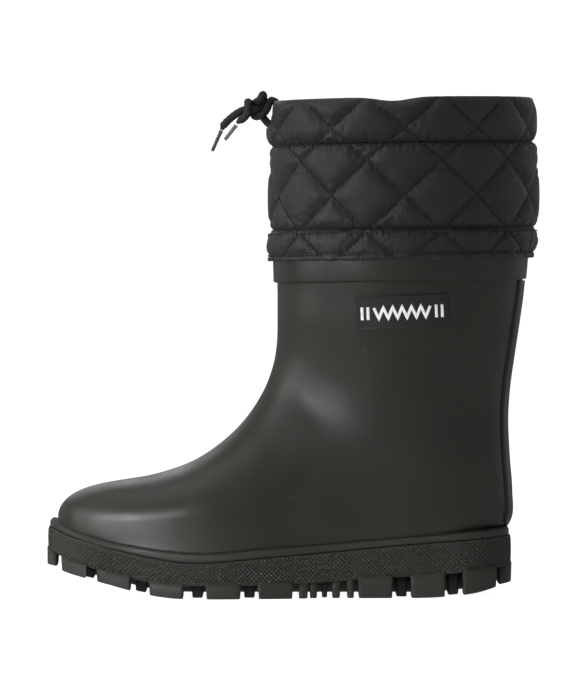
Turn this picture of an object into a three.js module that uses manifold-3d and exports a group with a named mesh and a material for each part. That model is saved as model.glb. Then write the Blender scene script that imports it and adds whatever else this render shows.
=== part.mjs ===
// A left winter rubber boot with a quilted drawcord collar, in millimetres.
// +Z is up, the toe points along -X and the outer side of the foot faces -Y.
// The origin is on the ground, under the middle of the boot's box without its cord ends.
import * as THREE from "three";
import { mergeVertices } from "three/addons/utils/BufferGeometryUtils.js";
import Module from "manifold-3d";

const wasm = await Module();
wasm.setup();

// ---- Driving dimensions -------------------------------------------------------------------
const GAP = 0.3; // between pieces that touch

const TOE_TIP = -144.2; // outsole's ends
const HEEL_END = 127.8;
const FOXING_STEP = 1; // the strip above the outsole stands this far inside it
const RUBBER = 2.2; // wall of the rubber upper
const LINING = 3;
const STRIP = 1.5; // heel strip
const BAND = 1.9; // top band
const PATCH = 0.9; // side label
const COUNTER = 1.5; // heel stiffener
const PUFF = 1.2; // toe stiffener
const BOARD = 2.4;
const FOOTBED_FOAM = 4.6;
const FOOTBED_FELT = 1.6;

const SHAFT_TOP = 206; // rubber's top edge
const BAND_BOTTOM = 184.2;
const COLLAR_CENTRE = 64.3;
const COLLAR_SLOPE = 0.015; // the top band and the collar rise this much towards the heel
const COLLAR_HALF = { length: 80.7, width: 62.4 };
const HEM_BOTTOM = 197.5;
const HEM_SEAM = 214.6;
const CASING_SEAM = 264.6;
const COLLAR_TOP = 293.3;
const COLLAR_WALL = 7.6;
const COLLAR_LINING = 1.2;
const TUNNEL = { inner: -6.6, outer: -1, bottom: 272, top: 290.6 }; // the cord's way inside the casing

const CORD = 4.6; // drawcord's diameter
const SLIT_HALF = 3.4; // half the width of the casing's front opening

const RING_SIDES = 20;
const RINGS_PER_STATION = 1.2;
const CAP_RINGS = 5;
const OVAL_SIDES = 36;

// ---- Small helpers --------------------------------------------------------------------------
const lerp = THREE.MathUtils.lerp;

/** Catmull-Rom through evenly spaced values; t runs from 0 to the last index. */
function smooth(values, t) {
  const i = Math.min(Math.floor(t), values.length - 2);
  const at = (k) => values[THREE.MathUtils.clamp(k, 0, values.length - 1)];
  const [a, b, c, d] = [at(i - 1), at(i), at(i + 1), at(i + 2)];
  const f = t - i;
  return b + 0.5 * f * (c - a + f * (2 * a - 5 * b + 4 * c - d + f * (3 * (b - c) + d - a)));
}

/** A smooth curve y(x) through [x, y] points whose x grows. */
function curveThrough(points) {
  const xs = points.map((p) => p[0]);
  const ys = points.map((p) => p[1]);
  return (x) => {
    const inside = THREE.MathUtils.clamp(x, xs[0], xs.at(-1));
    const i = Math.min(xs.findLastIndex((v) => v <= inside), xs.length - 2);
    return smooth(ys, i + (inside - xs[i]) / (xs[i + 1] - xs[i]));
  };
}

/** 1 along the middle of a blunt outline, falling to 0 at its end. */
const blunt = (share, power) => Math.pow(Math.max(0, 1 - Math.pow(Math.max(0, share), power)), 1 / power);

/** A closed surface through rings of equal length, each an array of Vector3, with a fan at either end. */
function loft(rings) {
  const sides = rings[0].length;
  const middle = (ring) => ring.reduce((sum, p) => sum.add(p), new THREE.Vector3()).divideScalar(sides);
  const points = [...rings.flat(), middle(rings[0]), middle(rings.at(-1))];
  const faces = [];
  for (let i = 0; i < rings.length - 1; i++) {
    for (let j = 0; j < sides; j++) {
      const [a, b] = [i * sides + j, i * sides + ((j + 1) % sides)];
      faces.push(a, b, b + sides, a, b + sides, a + sides);
    }
  }
  const last = (rings.length - 1) * sides;
  for (let j = 0; j < sides; j++) {
    const next = (j + 1) % sides;
    faces.push(points.length - 2, next, j, points.length - 1, last + j, last + next);
  }
  const geometry = new THREE.BufferGeometry().setFromPoints(points);
  geometry.setIndex(faces);
  return geometry;
}

/** A closed geometry as a manifold-3d solid with its faces pointing out. */
function solidOf(geometry) {
  const bare = geometry.clone();
  bare.deleteAttribute("normal");
  bare.deleteAttribute("uv");
  const merged = mergeVertices(bare, 1e-3);
  const triVerts = new Uint32Array(merged.index.array);
  const make = () =>
    new wasm.Manifold(
      new wasm.Mesh({ numProp: 3, vertProperties: merged.attributes.position.array, triVerts }),
    );
  const solid = make();
  if (solid.volume() > 0) return solid;
  for (let i = 0; i < triVerts.length; i += 3) {
    [triVerts[i + 1], triVerts[i + 2]] = [triVerts[i + 2], triVerts[i + 1]];
  }
  return make();
}

/** A solid back as a geometry. */
function geometryOf(solid) {
  const mesh = solid.getMesh();
  const positions = new Float32Array(mesh.numVert * 3);
  for (let i = 0; i < mesh.numVert; i++) {
    const start = i * mesh.numProp;
    positions.set(mesh.vertProperties.subarray(start, start + 3), i * 3);
  }
  const geometry = new THREE.BufferGeometry();
  geometry.setAttribute("position", new THREE.BufferAttribute(positions, 3));
  geometry.setIndex(new THREE.BufferAttribute(new Uint32Array(mesh.triVerts), 1));
  geometry.computeVertexNormals();
  return geometry;
}

/** A box between two corners. */
function boxOf(low, high) {
  const size = high.map((v, k) => v - low[k]);
  return new THREE.BoxGeometry(...size).translate(...low.map((v, k) => v + size[k] / 2));
}

/** Raises a geometry towards the heel, as the top band and the collar rise. */
function sloped(geometry) {
  const p = geometry.getAttribute("position");
  for (let i = 0; i < p.count; i++) {
    p.setZ(i, p.getZ(i) + COLLAR_SLOPE * (p.getX(i) - COLLAR_CENTRE));
  }
  return geometry;
}

// ---- Sole: outline and the lines that its layers follow --------------------------------------
const soleHalfWidth = curveThrough([[-145, 43], [-105, 46.5], [-78, 52], [-50, 53.5], [-15, 48],
  [25, 41.5], [65, 41], [95, 41.5], [130, 41]]);
const soleMiddle = curveThrough([[-145, 5], [-105, 4], [-78, 1.5], [-50, -1], [-15, -3.5],
  [25, -3], [65, -1], [95, 0], [130, 0]]);
const TOE_CAP = -105; // where the outline starts to round off
const HEEL_CAP = 95;
const TOE_POWER = 2.15;
const HEEL_POWER = 2.35;

/** Half the sole's width at x, that far inside its outline. */
function halfWidthAt(x, inset) {
  const toe = blunt((TOE_CAP - x) / (TOE_CAP - TOE_TIP - inset), TOE_POWER);
  const heel = blunt((x - HEEL_CAP) / (HEEL_END - inset - HEEL_CAP), HEEL_POWER);
  return (soleHalfWidth(x) - inset) * toe * heel;
}

// Heights along the boot: the lugs' feet, the textured wall's bottom and top, the foxing's top.
const groundCurve = curveThrough([[-146, 18], [-130, 13.5], [-110, 8.5], [-90, 3.5], [-72, 0.6], [-55, 0],
  [-25, 0], [10, 0], [45, 0], [80, 0.2], [105, 2.6], [130, 8.5]]);
const groundLine = (x) => Math.max(0, groundCurve(x));
const wallBottom = curveThrough([[-146, 27], [-130, 20.6], [-110, 15.3], [-90, 10.5], [-72, 8], [-50, 7.7],
  [-15, 8], [20, 9.6], [55, 11.8], [85, 13.5], [130, 18]]);
const wallTop = curveThrough([[-146, 40], [-130, 34.5], [-110, 29.2], [-90, 24.6], [-68, 21], [-50, 20.6],
  [-20, 23.2], [20, 26.4], [60, 30], [95, 32.8], [130, 35]]);
const foxingTop = curveThrough([[-146, 44.8], [-130, 39], [-110, 33.3], [-90, 29.6], [-68, 27], [-50, 26.2],
  [-20, 28.6], [20, 31.4], [60, 34.6], [95, 37.4], [130, 40]]);

/** A layer of the sole between two height lines, inside the outline by inset. */
function soleLayer({ inset, bottom, top, steps = 30 }) {
  const ends = [TOE_TIP + inset, HEEL_END - inset];
  const rings = [];
  for (let i = 0; i <= steps; i++) {
    const share = 0.5 - 0.5 * Math.cos(Math.PI * THREE.MathUtils.clamp(i / steps, 0.012, 0.988));
    const x = lerp(ends[0], ends[1], share);
    const half = halfWidthAt(x, inset);
    const [low, high] = [bottom(x), top(x)];
    rings.push([[-half, low], [half, low], [half, high], [-half, high]].map(
      ([y, z]) => new THREE.Vector3(x, soleMiddle(x) + y, z)));
  }
  return solidOf(loft(rings));
}

// ---- Upper: sections that fan from the toe round the instep to the top of the shaft ----------
// Each section is a closed curve in a plane: front is its point on the toe and instep line and
// back its point on the sole and heel line, as [x, z]. half is half its width, side its shift
// along Y, and the powers say how boxy its front and back halves are.
const SECTIONS = [
  { front: [-105, 66.6], back: [-105, 20.6], half: 43, side: 3.5, powers: [2.4, 3.6] },
  { front: [-84, 69.6], back: [-80, 18.2], half: 48, side: 1.5, powers: [2.25, 3.8] },
  { front: [-60, 77.8], back: [-47, 17.4], half: 49.3, side: -1, powers: [2.1, 3.8] },
  { front: [-42, 89.6], back: [-10, 19], half: 45.5, side: -2.5, powers: [2, 3.6] },
  { front: [-28, 103.4], back: [30, 21.5], half: 41.5, side: -2, powers: [2, 3.4] },
  { front: [-17.6, 119.4], back: [72, 24.5], half: 40, side: -1, powers: [2, 3.2] },
  { front: [-12, 134], back: [109, 28.6], half: 40.5, side: 0, powers: [2, 2.9] },
  { front: [-9.8, 146], back: [126.2, 43], half: 42, side: 0, powers: [2.05, 2.5] },
  { front: [-9.3, 155.4], back: [127.6, 61], half: 43.8, side: 0, powers: [2.1, 2.3] },
  { front: [-9.3, 163], back: [126.2, 81], half: 46, side: 0, powers: [2.1, 2.2] },
  { front: [-9.3, 169.6], back: [125.2, 102], half: 48.4, side: 0, powers: [2.1, 2.15] },
  { front: [-9.3, 176], back: [126.2, 121], half: 51, side: 0, powers: [2.05, 2.1] },
  { front: [-9.4, 182.6], back: [129, 141], half: 53.4, side: 0, powers: [2, 2.05] },
  { front: [-9.5, 189.6], back: [132, 161], half: 55.4, side: 0, powers: [2, 2] },
  { front: [-9.7, 198], back: [134.6, 181], half: 56.8, side: 0, powers: [2, 2] },
  { front: [-10, 212], back: [137, 212], half: 57.6, side: 0, powers: [2, 2] },
];
const UPPER_TIP = -138.8;
const UPPER_TIP_HEIGHT = [63, 26]; // of the instep and sole lines, carried on to the tip
const CAP_POWER = 2.3;

/** One section of the upper, that far inside its outer face. swell is under 1 in the toe cap. */
function sectionRing({ front, back, half, side, powers }, inset, swell = 1) {
  const reach = new THREE.Vector2(front[0] - back[0], front[1] - back[1]);
  const long = (reach.length() / 2 - inset) * swell;
  const wide = (half - inset) * swell;
  reach.normalize();
  const ring = [];
  for (let j = 0; j < RING_SIDES; j++) {
    const angle = (2 * Math.PI * j) / RING_SIDES;
    const [c, s] = [Math.cos(angle), Math.sin(angle)];
    const power = 2 / (c > 0 ? powers[0] : powers[1]);
    const along = long * Math.sign(c) * Math.pow(Math.abs(c), power);
    const across = wide * Math.sign(s) * Math.pow(Math.abs(s), power);
    ring.push(new THREE.Vector3(
      (front[0] + back[0]) / 2 + reach.x * along,
      side + across,
      (front[1] + back[1]) / 2 + reach.y * along,
    ));
  }
  return ring;
}

/** The solid inside the upper's outer face, moved inwards by inset (outwards if it is negative). */
function upperBody(inset) {
  const rings = [];
  const first = SECTIONS[0];
  const start = first.front[0];
  const capLength = start - UPPER_TIP;
  for (let i = 0; i < CAP_RINGS; i++) {
    const angle = (Math.PI / 2) * lerp(0.06, 1, i / CAP_RINGS);
    const x = start - (capLength - inset) * Math.pow(Math.cos(angle), 2 / CAP_POWER);
    const share = (start - x) / capLength;
    const swell = Math.pow(Math.sin(angle), 2 / CAP_POWER);
    const front = [x, lerp(first.front[1], UPPER_TIP_HEIGHT[0], share)];
    const back = [x, lerp(first.back[1], UPPER_TIP_HEIGHT[1], share)];
    rings.push(sectionRing({ ...first, front, back, side: first.side + share }, inset, swell));
  }
  const steps = Math.round((SECTIONS.length - 1) * RINGS_PER_STATION);
  for (let i = 0; i <= steps; i++) {
    const t = (i / steps) * (SECTIONS.length - 1);
    const pick = (read) => smooth(SECTIONS.map(read), t);
    rings.push(sectionRing({
      front: [pick((s) => s.front[0]), pick((s) => s.front[1])],
      back: [pick((s) => s.back[0]), pick((s) => s.back[1])],
      half: pick((s) => s.half),
      side: pick((s) => s.side),
      powers: [pick((s) => s.powers[0]), pick((s) => s.powers[1])],
    }, inset));
  }
  return solidOf(loft(rings));
}

/** The layer between two insets of the upper's outer face, kept inside region. */
const layer = (outer, inner, region) => upperBody(outer).subtract(upperBody(inner)).intersect(region);

/** The space below the shaft's top edge and, if given, above a height, both sloped like the collar. */
const shaftBelow = (top, bottom = -20) =>
  solidOf(sloped(boxOf([-200, -100, bottom], [200, 100, top])));

// ---- Outsole, foxing and what lies inside the sole -------------------------------------------
const FOREFOOT_LUGS = [-10.3, -40.5, -73.6, -104.4];
const HEEL_LUGS = [47.8, 78.4, 108.6];
const LUG_PITCH = 30.4;
const LUG_LENGTH = 20.4;
const LUG_WIDTH = 21;
const LUG_PROUD = 0.9; // beyond the textured wall
// Small blocks under the arch: x, length, width, inset from the outline.
const ARCH_BLOCKS = [[5.8, 6, 18, 1.6], [11.7, 5, 16, 3.2], [18.2, 4, 12, 9], [24.9, 5.4, 17, 2.4], [33.3, 4.8, 18, 1.6]];
const BAR_LENGTH = 7;
const BAR_INSET = 13; // the bars' ends, inside the outline
const MIDDLE_BLOCK = [12, 22];
const END_BLOCKS = [[-142, 4, 8, 24], [-128, 4, 15.4, 90], [124, 0, 9, 44]]; // x, y, length, width

const RIB = { from: [-133, -6], to: [119, 6], lift: 1.2 }; // along the sole's middle, just clear of the ground

/** The tread: blocks along both edges, bars between them and small blocks under the arch. */
function treadBlocks() {
  const blocks = [];
  const block = (x, y, length, width) =>
    blocks.push(boxOf([x - length / 2, y - width / 2, -1], [x + length / 2, y + width / 2, 30]));
  const sides = (x, length, width, inset) => {
    for (const side of [-1, 1]) {
      const edge = soleMiddle(x) + side * (halfWidthAt(x, -LUG_PROUD) - inset);
      block(x, edge - side * (width / 2 - 2), length, width + 4);
    }
  };
  const between = [...FOREFOOT_LUGS, ...HEEL_LUGS.slice(1)].map((x) => x - LUG_PITCH / 2);
  for (const x of [...FOREFOOT_LUGS, ...HEEL_LUGS]) {
    sides(x, LUG_LENGTH, LUG_WIDTH, 0);
    block(x, soleMiddle(x), ...MIDDLE_BLOCK);
  }
  for (const x of between) block(x, soleMiddle(x), BAR_LENGTH, 2 * halfWidthAt(x, BAR_INSET));
  for (const block of ARCH_BLOCKS) sides(...block);
  for (const place of END_BLOCKS) block(...place);
  return blocks.map(solidOf).reduce((all, b) => all.add(b));
}

function outsoleSolid() {
  const platform = soleLayer({ inset: 0, bottom: wallBottom, top: wallTop, steps: 36 });
  const tread = treadBlocks().intersect(
    soleLayer({ inset: -LUG_PROUD, bottom: groundLine, top: (x) => wallBottom(x) + 1 }));
  const rib = solidOf(boxOf([...RIB.from, -1], [...RIB.to, 30])).intersect(
    soleLayer({ inset: 0, bottom: (x) => groundLine(x) + RIB.lift, top: (x) => wallBottom(x) + 1 }));
  return platform.add(tread).add(rib).subtract(upperBody(-GAP)).subtract(fillerPocket(GAP));
}

const FILLER_INSET = 16;
const SOLE_FLOOR = 4; // rubber left under the filler

/** The foam filler's space under the upper, grown by clearance at its sides and floor. */
const fillerPocket = (clearance) => soleLayer({
  inset: FILLER_INSET - clearance,
  bottom: (x) => wallBottom(x) + SOLE_FLOOR - clearance,
  top: (x) => wallTop(x) + SOLE_FLOOR,
  steps: 22,
});

const fillerSolid = () => fillerPocket(0).subtract(upperBody(-GAP));

const foxingSolid = () => soleLayer({
  inset: FOXING_STEP,
  bottom: (x) => wallTop(x) + GAP,
  top: foxingTop,
  steps: 36,
}).subtract(upperBody(-GAP)).subtract(fillerPocket(GAP));

// Inside the boot the board and the footbed follow the floor of the lining.
const FLOOR_INSET = RUBBER + GAP + LINING;
const boardBottom = curveThrough([[-140, 32.6], [-120, 28], [-100, 25.6], [-75, 24], [-47, 23.3], [-10, 25],
  [30, 27.4], [72, 30.4], [110, 33.4]]);
const boardTop = (x) => boardBottom(x) + BOARD;
const foamBottom = (x) => boardTop(x) + GAP;
const foamTop = (x) => foamBottom(x) + FOOTBED_FOAM;
const feltBottom = (x) => foamTop(x) + GAP;
const feltTop = (x) => feltBottom(x) + FOOTBED_FELT;
const FOOTBED_INSET = 12.5; // from the sole's outline
const FOOTBED_PLAY = 1.5; // from the lining
const BOARD_INSET = 9;

const boardSolid = () => soleLayer({ inset: BOARD_INSET, bottom: boardBottom, top: boardTop, steps: 22 })
  .intersect(upperBody(FLOOR_INSET + GAP));
const footbedLayer = (bottom, top) => soleLayer({ inset: FOOTBED_INSET, bottom, top, steps: 24 })
  .intersect(upperBody(FLOOR_INSET + FOOTBED_PLAY));

// ---- Upper, its strips and its inner layers --------------------------------------------------
const upperShell = () => layer(0, RUBBER, shaftBelow(SHAFT_TOP));

const heelCounter = (grow = 0) => layer(RUBBER + GAP - grow, RUBBER + GAP + COUNTER + grow,
  solidOf(boxOf([66 - grow, -60, 34 - grow], [140, 60, 86 + grow])));
const toePuff = (grow = 0) => layer(RUBBER + GAP - grow, RUBBER + GAP + PUFF + grow,
  solidOf(boxOf([-150, -60, 32 - grow], [-100 + grow, 60, 80])));

const liningSolid = () => layer(RUBBER + GAP, FLOOR_INSET, shaftBelow(SHAFT_TOP - 1))
  .subtract(heelCounter(GAP))
  .subtract(toePuff(GAP));

const topBand = () => layer(-GAP - BAND, -GAP, shaftBelow(SHAFT_TOP, BAND_BOTTOM));

const heelStrip = () => {
  const outline = new THREE.Shape();
  const [half, corner, low] = [17, 6, 41.5];
  outline.moveTo(-half, BAND_BOTTOM - 1);
  outline.lineTo(-half, low + corner);
  outline.quadraticCurveTo(-half, low, -half + corner, low);
  outline.lineTo(half - corner, low);
  outline.quadraticCurveTo(half, low, half, low + corner);
  outline.lineTo(half, BAND_BOTTOM - 1);
  const slab = new THREE.ExtrudeGeometry(outline, { depth: 70, bevelEnabled: false, curveSegments: 3 });
  slab.rotateX(Math.PI / 2).rotateZ(Math.PI / 2).translate(90, 0, 0);
  return layer(-GAP - STRIP, -GAP, solidOf(slab));
};

const LABEL = { length: 53.6, height: 19.6, centre: [63, 166.4], tilt: THREE.MathUtils.degToRad(2.4) };
const sideLabel = () => {
  const slab = new THREE.BoxGeometry(LABEL.length, 40, LABEL.height);
  slab.rotateY(-LABEL.tilt).translate(LABEL.centre[0], -60, LABEL.centre[1]);
  return layer(-GAP - PATCH, -GAP, solidOf(slab));
};

// ---- Quilted collar --------------------------------------------------------------------------
/** A ring whose profile is [offset from the collar's oval, height], turned round the oval. */
function collarRing(profile) {
  const reference = 100;
  const closed = [...profile, profile[0]].map(([offset, z]) => new THREE.Vector2(reference + offset, z));
  const ring = new THREE.LatheGeometry(closed, OVAL_SIDES).rotateX(Math.PI / 2);
  const p = ring.getAttribute("position");
  for (let i = 0; i < p.count; i++) {
    const angle = Math.atan2(p.getY(i), p.getX(i));
    const offset = Math.hypot(p.getX(i), p.getY(i)) - reference;
    const at = ovalPoint(angle, offset);
    p.setXY(i, at.x, at.y);
  }
  return solidOf(sloped(ring));
}

/** A point that far outside the collar's oval, at an angle round it. */
function ovalPoint(angle, offset) {
  const { length, width } = COLLAR_HALF;
  const normal = new THREE.Vector2(Math.cos(angle) / length, Math.sin(angle) / width).normalize();
  return new THREE.Vector2(
    COLLAR_CENTRE + length * Math.cos(angle) + normal.x * offset,
    width * Math.sin(angle) + normal.y * offset,
  );
}

const casingSolid = () => {
  const outside = collarRing([
    [-1.8, CASING_SEAM + GAP], [0, CASING_SEAM + 5], [0, COLLAR_TOP - 7], [-2, COLLAR_TOP - 1.6],
    [-4.4, COLLAR_TOP], [-7, COLLAR_TOP - 1.4], [-COLLAR_WALL, COLLAR_TOP - 4], [-COLLAR_WALL, CASING_SEAM + GAP],
  ]);
  const { inner, outer, bottom, top } = TUNNEL;
  const tunnel = collarRing([[inner, bottom], [outer, bottom], [outer, top], [inner, top]]);
  const slit = solidOf(boxOf([-30, -SLIT_HALF, bottom + 0.5], [-13, SLIT_HALF, top - 1.4]));
  return outside.subtract(tunnel).subtract(slit);
};

const collarWall = () => collarRing([
  [-1.6, HEM_SEAM + GAP], [0, HEM_SEAM + 6], [-0.4, (HEM_SEAM + CASING_SEAM) / 2], [0, CASING_SEAM - 6],
  [-1.6, CASING_SEAM], [-COLLAR_WALL, CASING_SEAM], [-COLLAR_WALL, HEM_SEAM + GAP],
]);

const collarHem = () => collarRing([
  [-3, HEM_BOTTOM], [-1, HEM_BOTTOM + 4], [-0.6, HEM_SEAM - 5], [-1.6, HEM_SEAM],
  [-COLLAR_WALL, HEM_SEAM], [-COLLAR_WALL, HEM_BOTTOM],
]).subtract(upperBody(-2 * GAP - BAND));

const collarLining = () => collarRing([
  [-COLLAR_WALL - GAP, SHAFT_TOP + 1.5], [-COLLAR_WALL - GAP, COLLAR_TOP - 4],
  [-COLLAR_WALL - GAP - COLLAR_LINING, COLLAR_TOP - 4.6], [-COLLAR_WALL - GAP - COLLAR_LINING, SHAFT_TOP + 1.5],
]);

// ---- Drawcord --------------------------------------------------------------------------------
const CORD_SIDES = 4;

/** A round tube along points, as its own closed geometry. */
function tube(points, diameter, steps) {
  const section = new THREE.Shape();
  section.absarc(0, 0, diameter / 2, 0, 2 * Math.PI);
  const path = new THREE.CatmullRomCurve3(points.map((p) => new THREE.Vector3(...p)));
  const options = { steps, extrudePath: path, bevelEnabled: false, curveSegments: CORD_SIDES };
  return new THREE.ExtrudeGeometry(section, options);
}

/** The length that runs round inside the casing, from one side of its front opening to the other. */
function cordRun() {
  const points = [];
  const [turns, gapAngle] = [40, 0.13];
  for (let i = 0; i <= turns; i++) {
    const angle = lerp(-Math.PI + gapAngle, Math.PI - gapAngle, i / turns);
    const at = ovalPoint(angle, -3.8);
    points.push([at.x, at.y, 280.8 + COLLAR_SLOPE * (at.x - COLLAR_CENTRE)]);
  }
  return solidOf(tube(points, CORD, 48));
}

const KNOT = { centre: [-23.6, 0, 284.6], radii: [6.6, 5.6, 6.2] };
const UPPER_LEG = [[-10.4, 0, 285.6], [-14.6, 0, 286.6], [-18.4, 0, 285.6]];
const LOWER_LEG = [[-10.4, 0, 276.2], [-14.6, 0, 276.2], [-17.4, 0, 277.6], [-20, 0, 280.2]];
const FRONT_TAIL = [[-29, 0, 285.6], [-34.4, -0.6, 282.2], [-39, -1, 278], [-42, -1.2, 273.2]];
const REAR_TAIL = [[-27, -1.2, 280.4], [-30, -2.4, 278.4], [-33, -3.4, 276.2]];
const FRONT_AGLET = { from: [-42.3, -1.2, 272.4], to: [-47.7, -1.4, 260.4], diameter: 2.3 };
const REAR_AGLET = { from: [-33.5, -3.5, 275.4], to: [-40.2, -4.6, 267], diameter: 2.6 };
const EAR = { x: -18.2, half: 3.4, foot: 287.6, top: 297.4 };

/** The knot, without the room that the legs and tails take. */
function knotSolid() {
  const ball = new THREE.SphereGeometry(1, 12, 8).scale(...KNOT.radii).translate(...KNOT.centre);
  const room = [UPPER_LEG, LOWER_LEG, FRONT_TAIL, REAR_TAIL].map((points) => solidOf(tube(points, CORD + 2 * GAP, 8)));
  return room.reduce((left, cut) => left.subtract(cut), solidOf(ball));
}

/** The ear of the bow: one bight, standing up from the knot. */
function bowEar() {
  const { x, half, foot, top } = EAR;
  const outline = new THREE.Shape();
  outline.moveTo(-half, foot);
  outline.lineTo(half, foot);
  outline.lineTo(half, top - half);
  outline.absarc(0, top - half, half, 0, Math.PI);
  const ear = new THREE.ExtrudeGeometry(outline, { depth: CORD, bevelEnabled: false, curveSegments: 8 });
  ear.rotateX(Math.PI / 2).translate(x, CORD / 2, 0);
  return solidOf(ear).subtract(solidOf(new THREE.SphereGeometry(1, 16, 12)
    .scale(...KNOT.radii.map((r) => r + GAP)).translate(...KNOT.centre)))
    .subtract(solidOf(tube(UPPER_LEG, CORD + 2 * GAP, 8)));
}

/** A crimped sleeve on a cord's end. */
function aglet({ from, to, diameter }) {
  const [start, end] = [from, to].map((p) => new THREE.Vector3(...p));
  const along = new THREE.Vector3().subVectors(end, start);
  const sleeve = new THREE.CylinderGeometry(diameter / 2, diameter / 2, along.length(), 10);
  sleeve.applyQuaternion(new THREE.Quaternion().setFromUnitVectors(
    new THREE.Vector3(0, 1, 0), along.clone().normalize()));
  const middle = start.clone().addScaledVector(along, 0.5);
  return solidOf(sleeve.translate(middle.x, middle.y, middle.z));
}

// ---- Materials and the assembled boot --------------------------------------------------------
const material = (color, roughness, metalness = 0) =>
  new THREE.MeshStandardMaterial({ color, roughness, metalness });
const RUBBER_BLACK = material(0x23231f, 0.52);
const SOLE_BLACK = material(0x262622, 0.72);
const NYLON_BLACK = material(0x1b1b1d, 0.42);
const LINING_GREY = material(0x35353a, 0.95);
const CORD_BLACK = material(0x201f1c, 0.85);
const BOARD_TAN = material(0x8a7a62, 0.9);
const FOAM_GREY = material(0x4a4b4f, 0.9);
const FELT_GREY = material(0x3c3d40, 1);
const AGLET_CLEAR = material(0x2a2b2a, 0.2);

const boot = new THREE.Group();

/** Adds one piece to a group, as a named mesh. */
function piece(group, name, solid, finish) {
  const mesh = new THREE.Mesh(geometryOf(solid), finish);
  mesh.name = name;
  group.add(mesh);
}

const sole = new THREE.Group();
piece(sole, "outsole", outsoleSolid(), SOLE_BLACK);
piece(sole, "foxing_strip", foxingSolid(), SOLE_BLACK);
piece(sole, "sole_filler", fillerSolid(), FOAM_GREY);
piece(sole, "insole_board", boardSolid(), BOARD_TAN);
boot.add(sole);

const upper = new THREE.Group();
piece(upper, "upper_shell", upperShell(), RUBBER_BLACK);
piece(upper, "boot_lining", liningSolid(), LINING_GREY);
piece(upper, "heel_counter", heelCounter(), BOARD_TAN);
piece(upper, "toe_puff", toePuff(), BOARD_TAN);
piece(upper, "heel_strip", heelStrip(), RUBBER_BLACK);
piece(upper, "top_band", topBand(), RUBBER_BLACK);
piece(upper, "side_label", sideLabel(), RUBBER_BLACK);
boot.add(upper);

const footbed = new THREE.Group();
piece(footbed, "footbed_foam", footbedLayer(foamBottom, foamTop), FOAM_GREY);
piece(footbed, "footbed_felt", footbedLayer(feltBottom, feltTop), FELT_GREY);
boot.add(footbed);

const collar = new THREE.Group();
piece(collar, "collar_hem", collarHem(), NYLON_BLACK);
piece(collar, "collar_wall", collarWall(), NYLON_BLACK);
piece(collar, "collar_casing", casingSolid(), NYLON_BLACK);
piece(collar, "collar_lining", collarLining(), NYLON_BLACK);
boot.add(collar);

const drawcord = new THREE.Group();
piece(drawcord, "drawcord_run", cordRun(), CORD_BLACK);
piece(drawcord, "cord_leg_upper", solidOf(tube(UPPER_LEG, CORD, 4)), CORD_BLACK);
piece(drawcord, "cord_leg_lower", solidOf(tube(LOWER_LEG, CORD, 4)), CORD_BLACK);
piece(drawcord, "cord_knot", knotSolid(), CORD_BLACK);
piece(drawcord, "cord_ear", bowEar(), CORD_BLACK);
piece(drawcord, "cord_tail_front", solidOf(tube(FRONT_TAIL, CORD, 8)), CORD_BLACK);
piece(drawcord, "cord_tail_rear", solidOf(tube(REAR_TAIL, CORD, 4)), CORD_BLACK);
piece(drawcord, "aglet_front", aglet(FRONT_AGLET), AGLET_CLEAR);
piece(drawcord, "aglet_rear", aglet(REAR_AGLET), AGLET_CLEAR);
boot.add(drawcord);

export default boot;
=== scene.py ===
"""A left winter rubber boot: its fine surfaces, quilted collar, drawcord, sole and materials."""
import math

import bmesh
import bpy
import numpy as np
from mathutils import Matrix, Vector
from mathutils.bvhtree import BVHTree


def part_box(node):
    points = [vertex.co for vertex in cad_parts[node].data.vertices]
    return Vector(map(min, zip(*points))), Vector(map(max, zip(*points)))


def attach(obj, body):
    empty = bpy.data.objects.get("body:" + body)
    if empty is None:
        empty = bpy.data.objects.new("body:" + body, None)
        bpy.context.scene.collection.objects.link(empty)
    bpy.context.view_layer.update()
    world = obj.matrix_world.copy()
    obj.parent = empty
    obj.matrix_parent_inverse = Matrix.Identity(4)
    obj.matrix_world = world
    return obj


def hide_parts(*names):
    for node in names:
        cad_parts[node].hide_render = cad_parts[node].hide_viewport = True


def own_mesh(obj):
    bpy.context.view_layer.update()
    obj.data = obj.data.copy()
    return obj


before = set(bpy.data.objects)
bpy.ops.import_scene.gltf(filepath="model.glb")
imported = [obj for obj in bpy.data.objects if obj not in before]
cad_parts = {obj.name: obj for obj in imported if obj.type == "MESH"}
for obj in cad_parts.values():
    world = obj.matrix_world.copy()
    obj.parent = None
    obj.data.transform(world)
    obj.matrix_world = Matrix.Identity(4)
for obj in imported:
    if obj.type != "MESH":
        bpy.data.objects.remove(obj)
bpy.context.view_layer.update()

MM = 0.001

# ---- Dimensions shared with the CAD source, in millimetres ---------------------------------
GAP = 0.3
TOE_TIP, HEEL_END = -144.2, 127.8
SHAFT_TOP, BAND_BOTTOM = 206.0, 184.2
COLLAR_CENTRE, COLLAR_SLOPE = 64.3, 0.015
COLLAR_HALF = (80.7, 62.4)
HEM_BOTTOM, HEM_SEAM, CASING_SEAM, COLLAR_TOP = 197.5, 214.6, 264.6, 293.3

# ---- Camera: square to the boot's side, almost level, long lens ------------------------------
IMAGE_WIDTH = 580  # the image is 580 x 690
SENSOR_WIDTH = 36
MM_PER_PIXEL = 0.5889
VIEW_CENTRE = (-1.9, 146.4)
CAMERA_DISTANCE = 3000.0
CAMERA_LIFT = 1.0  # degrees above the horizon


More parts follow.
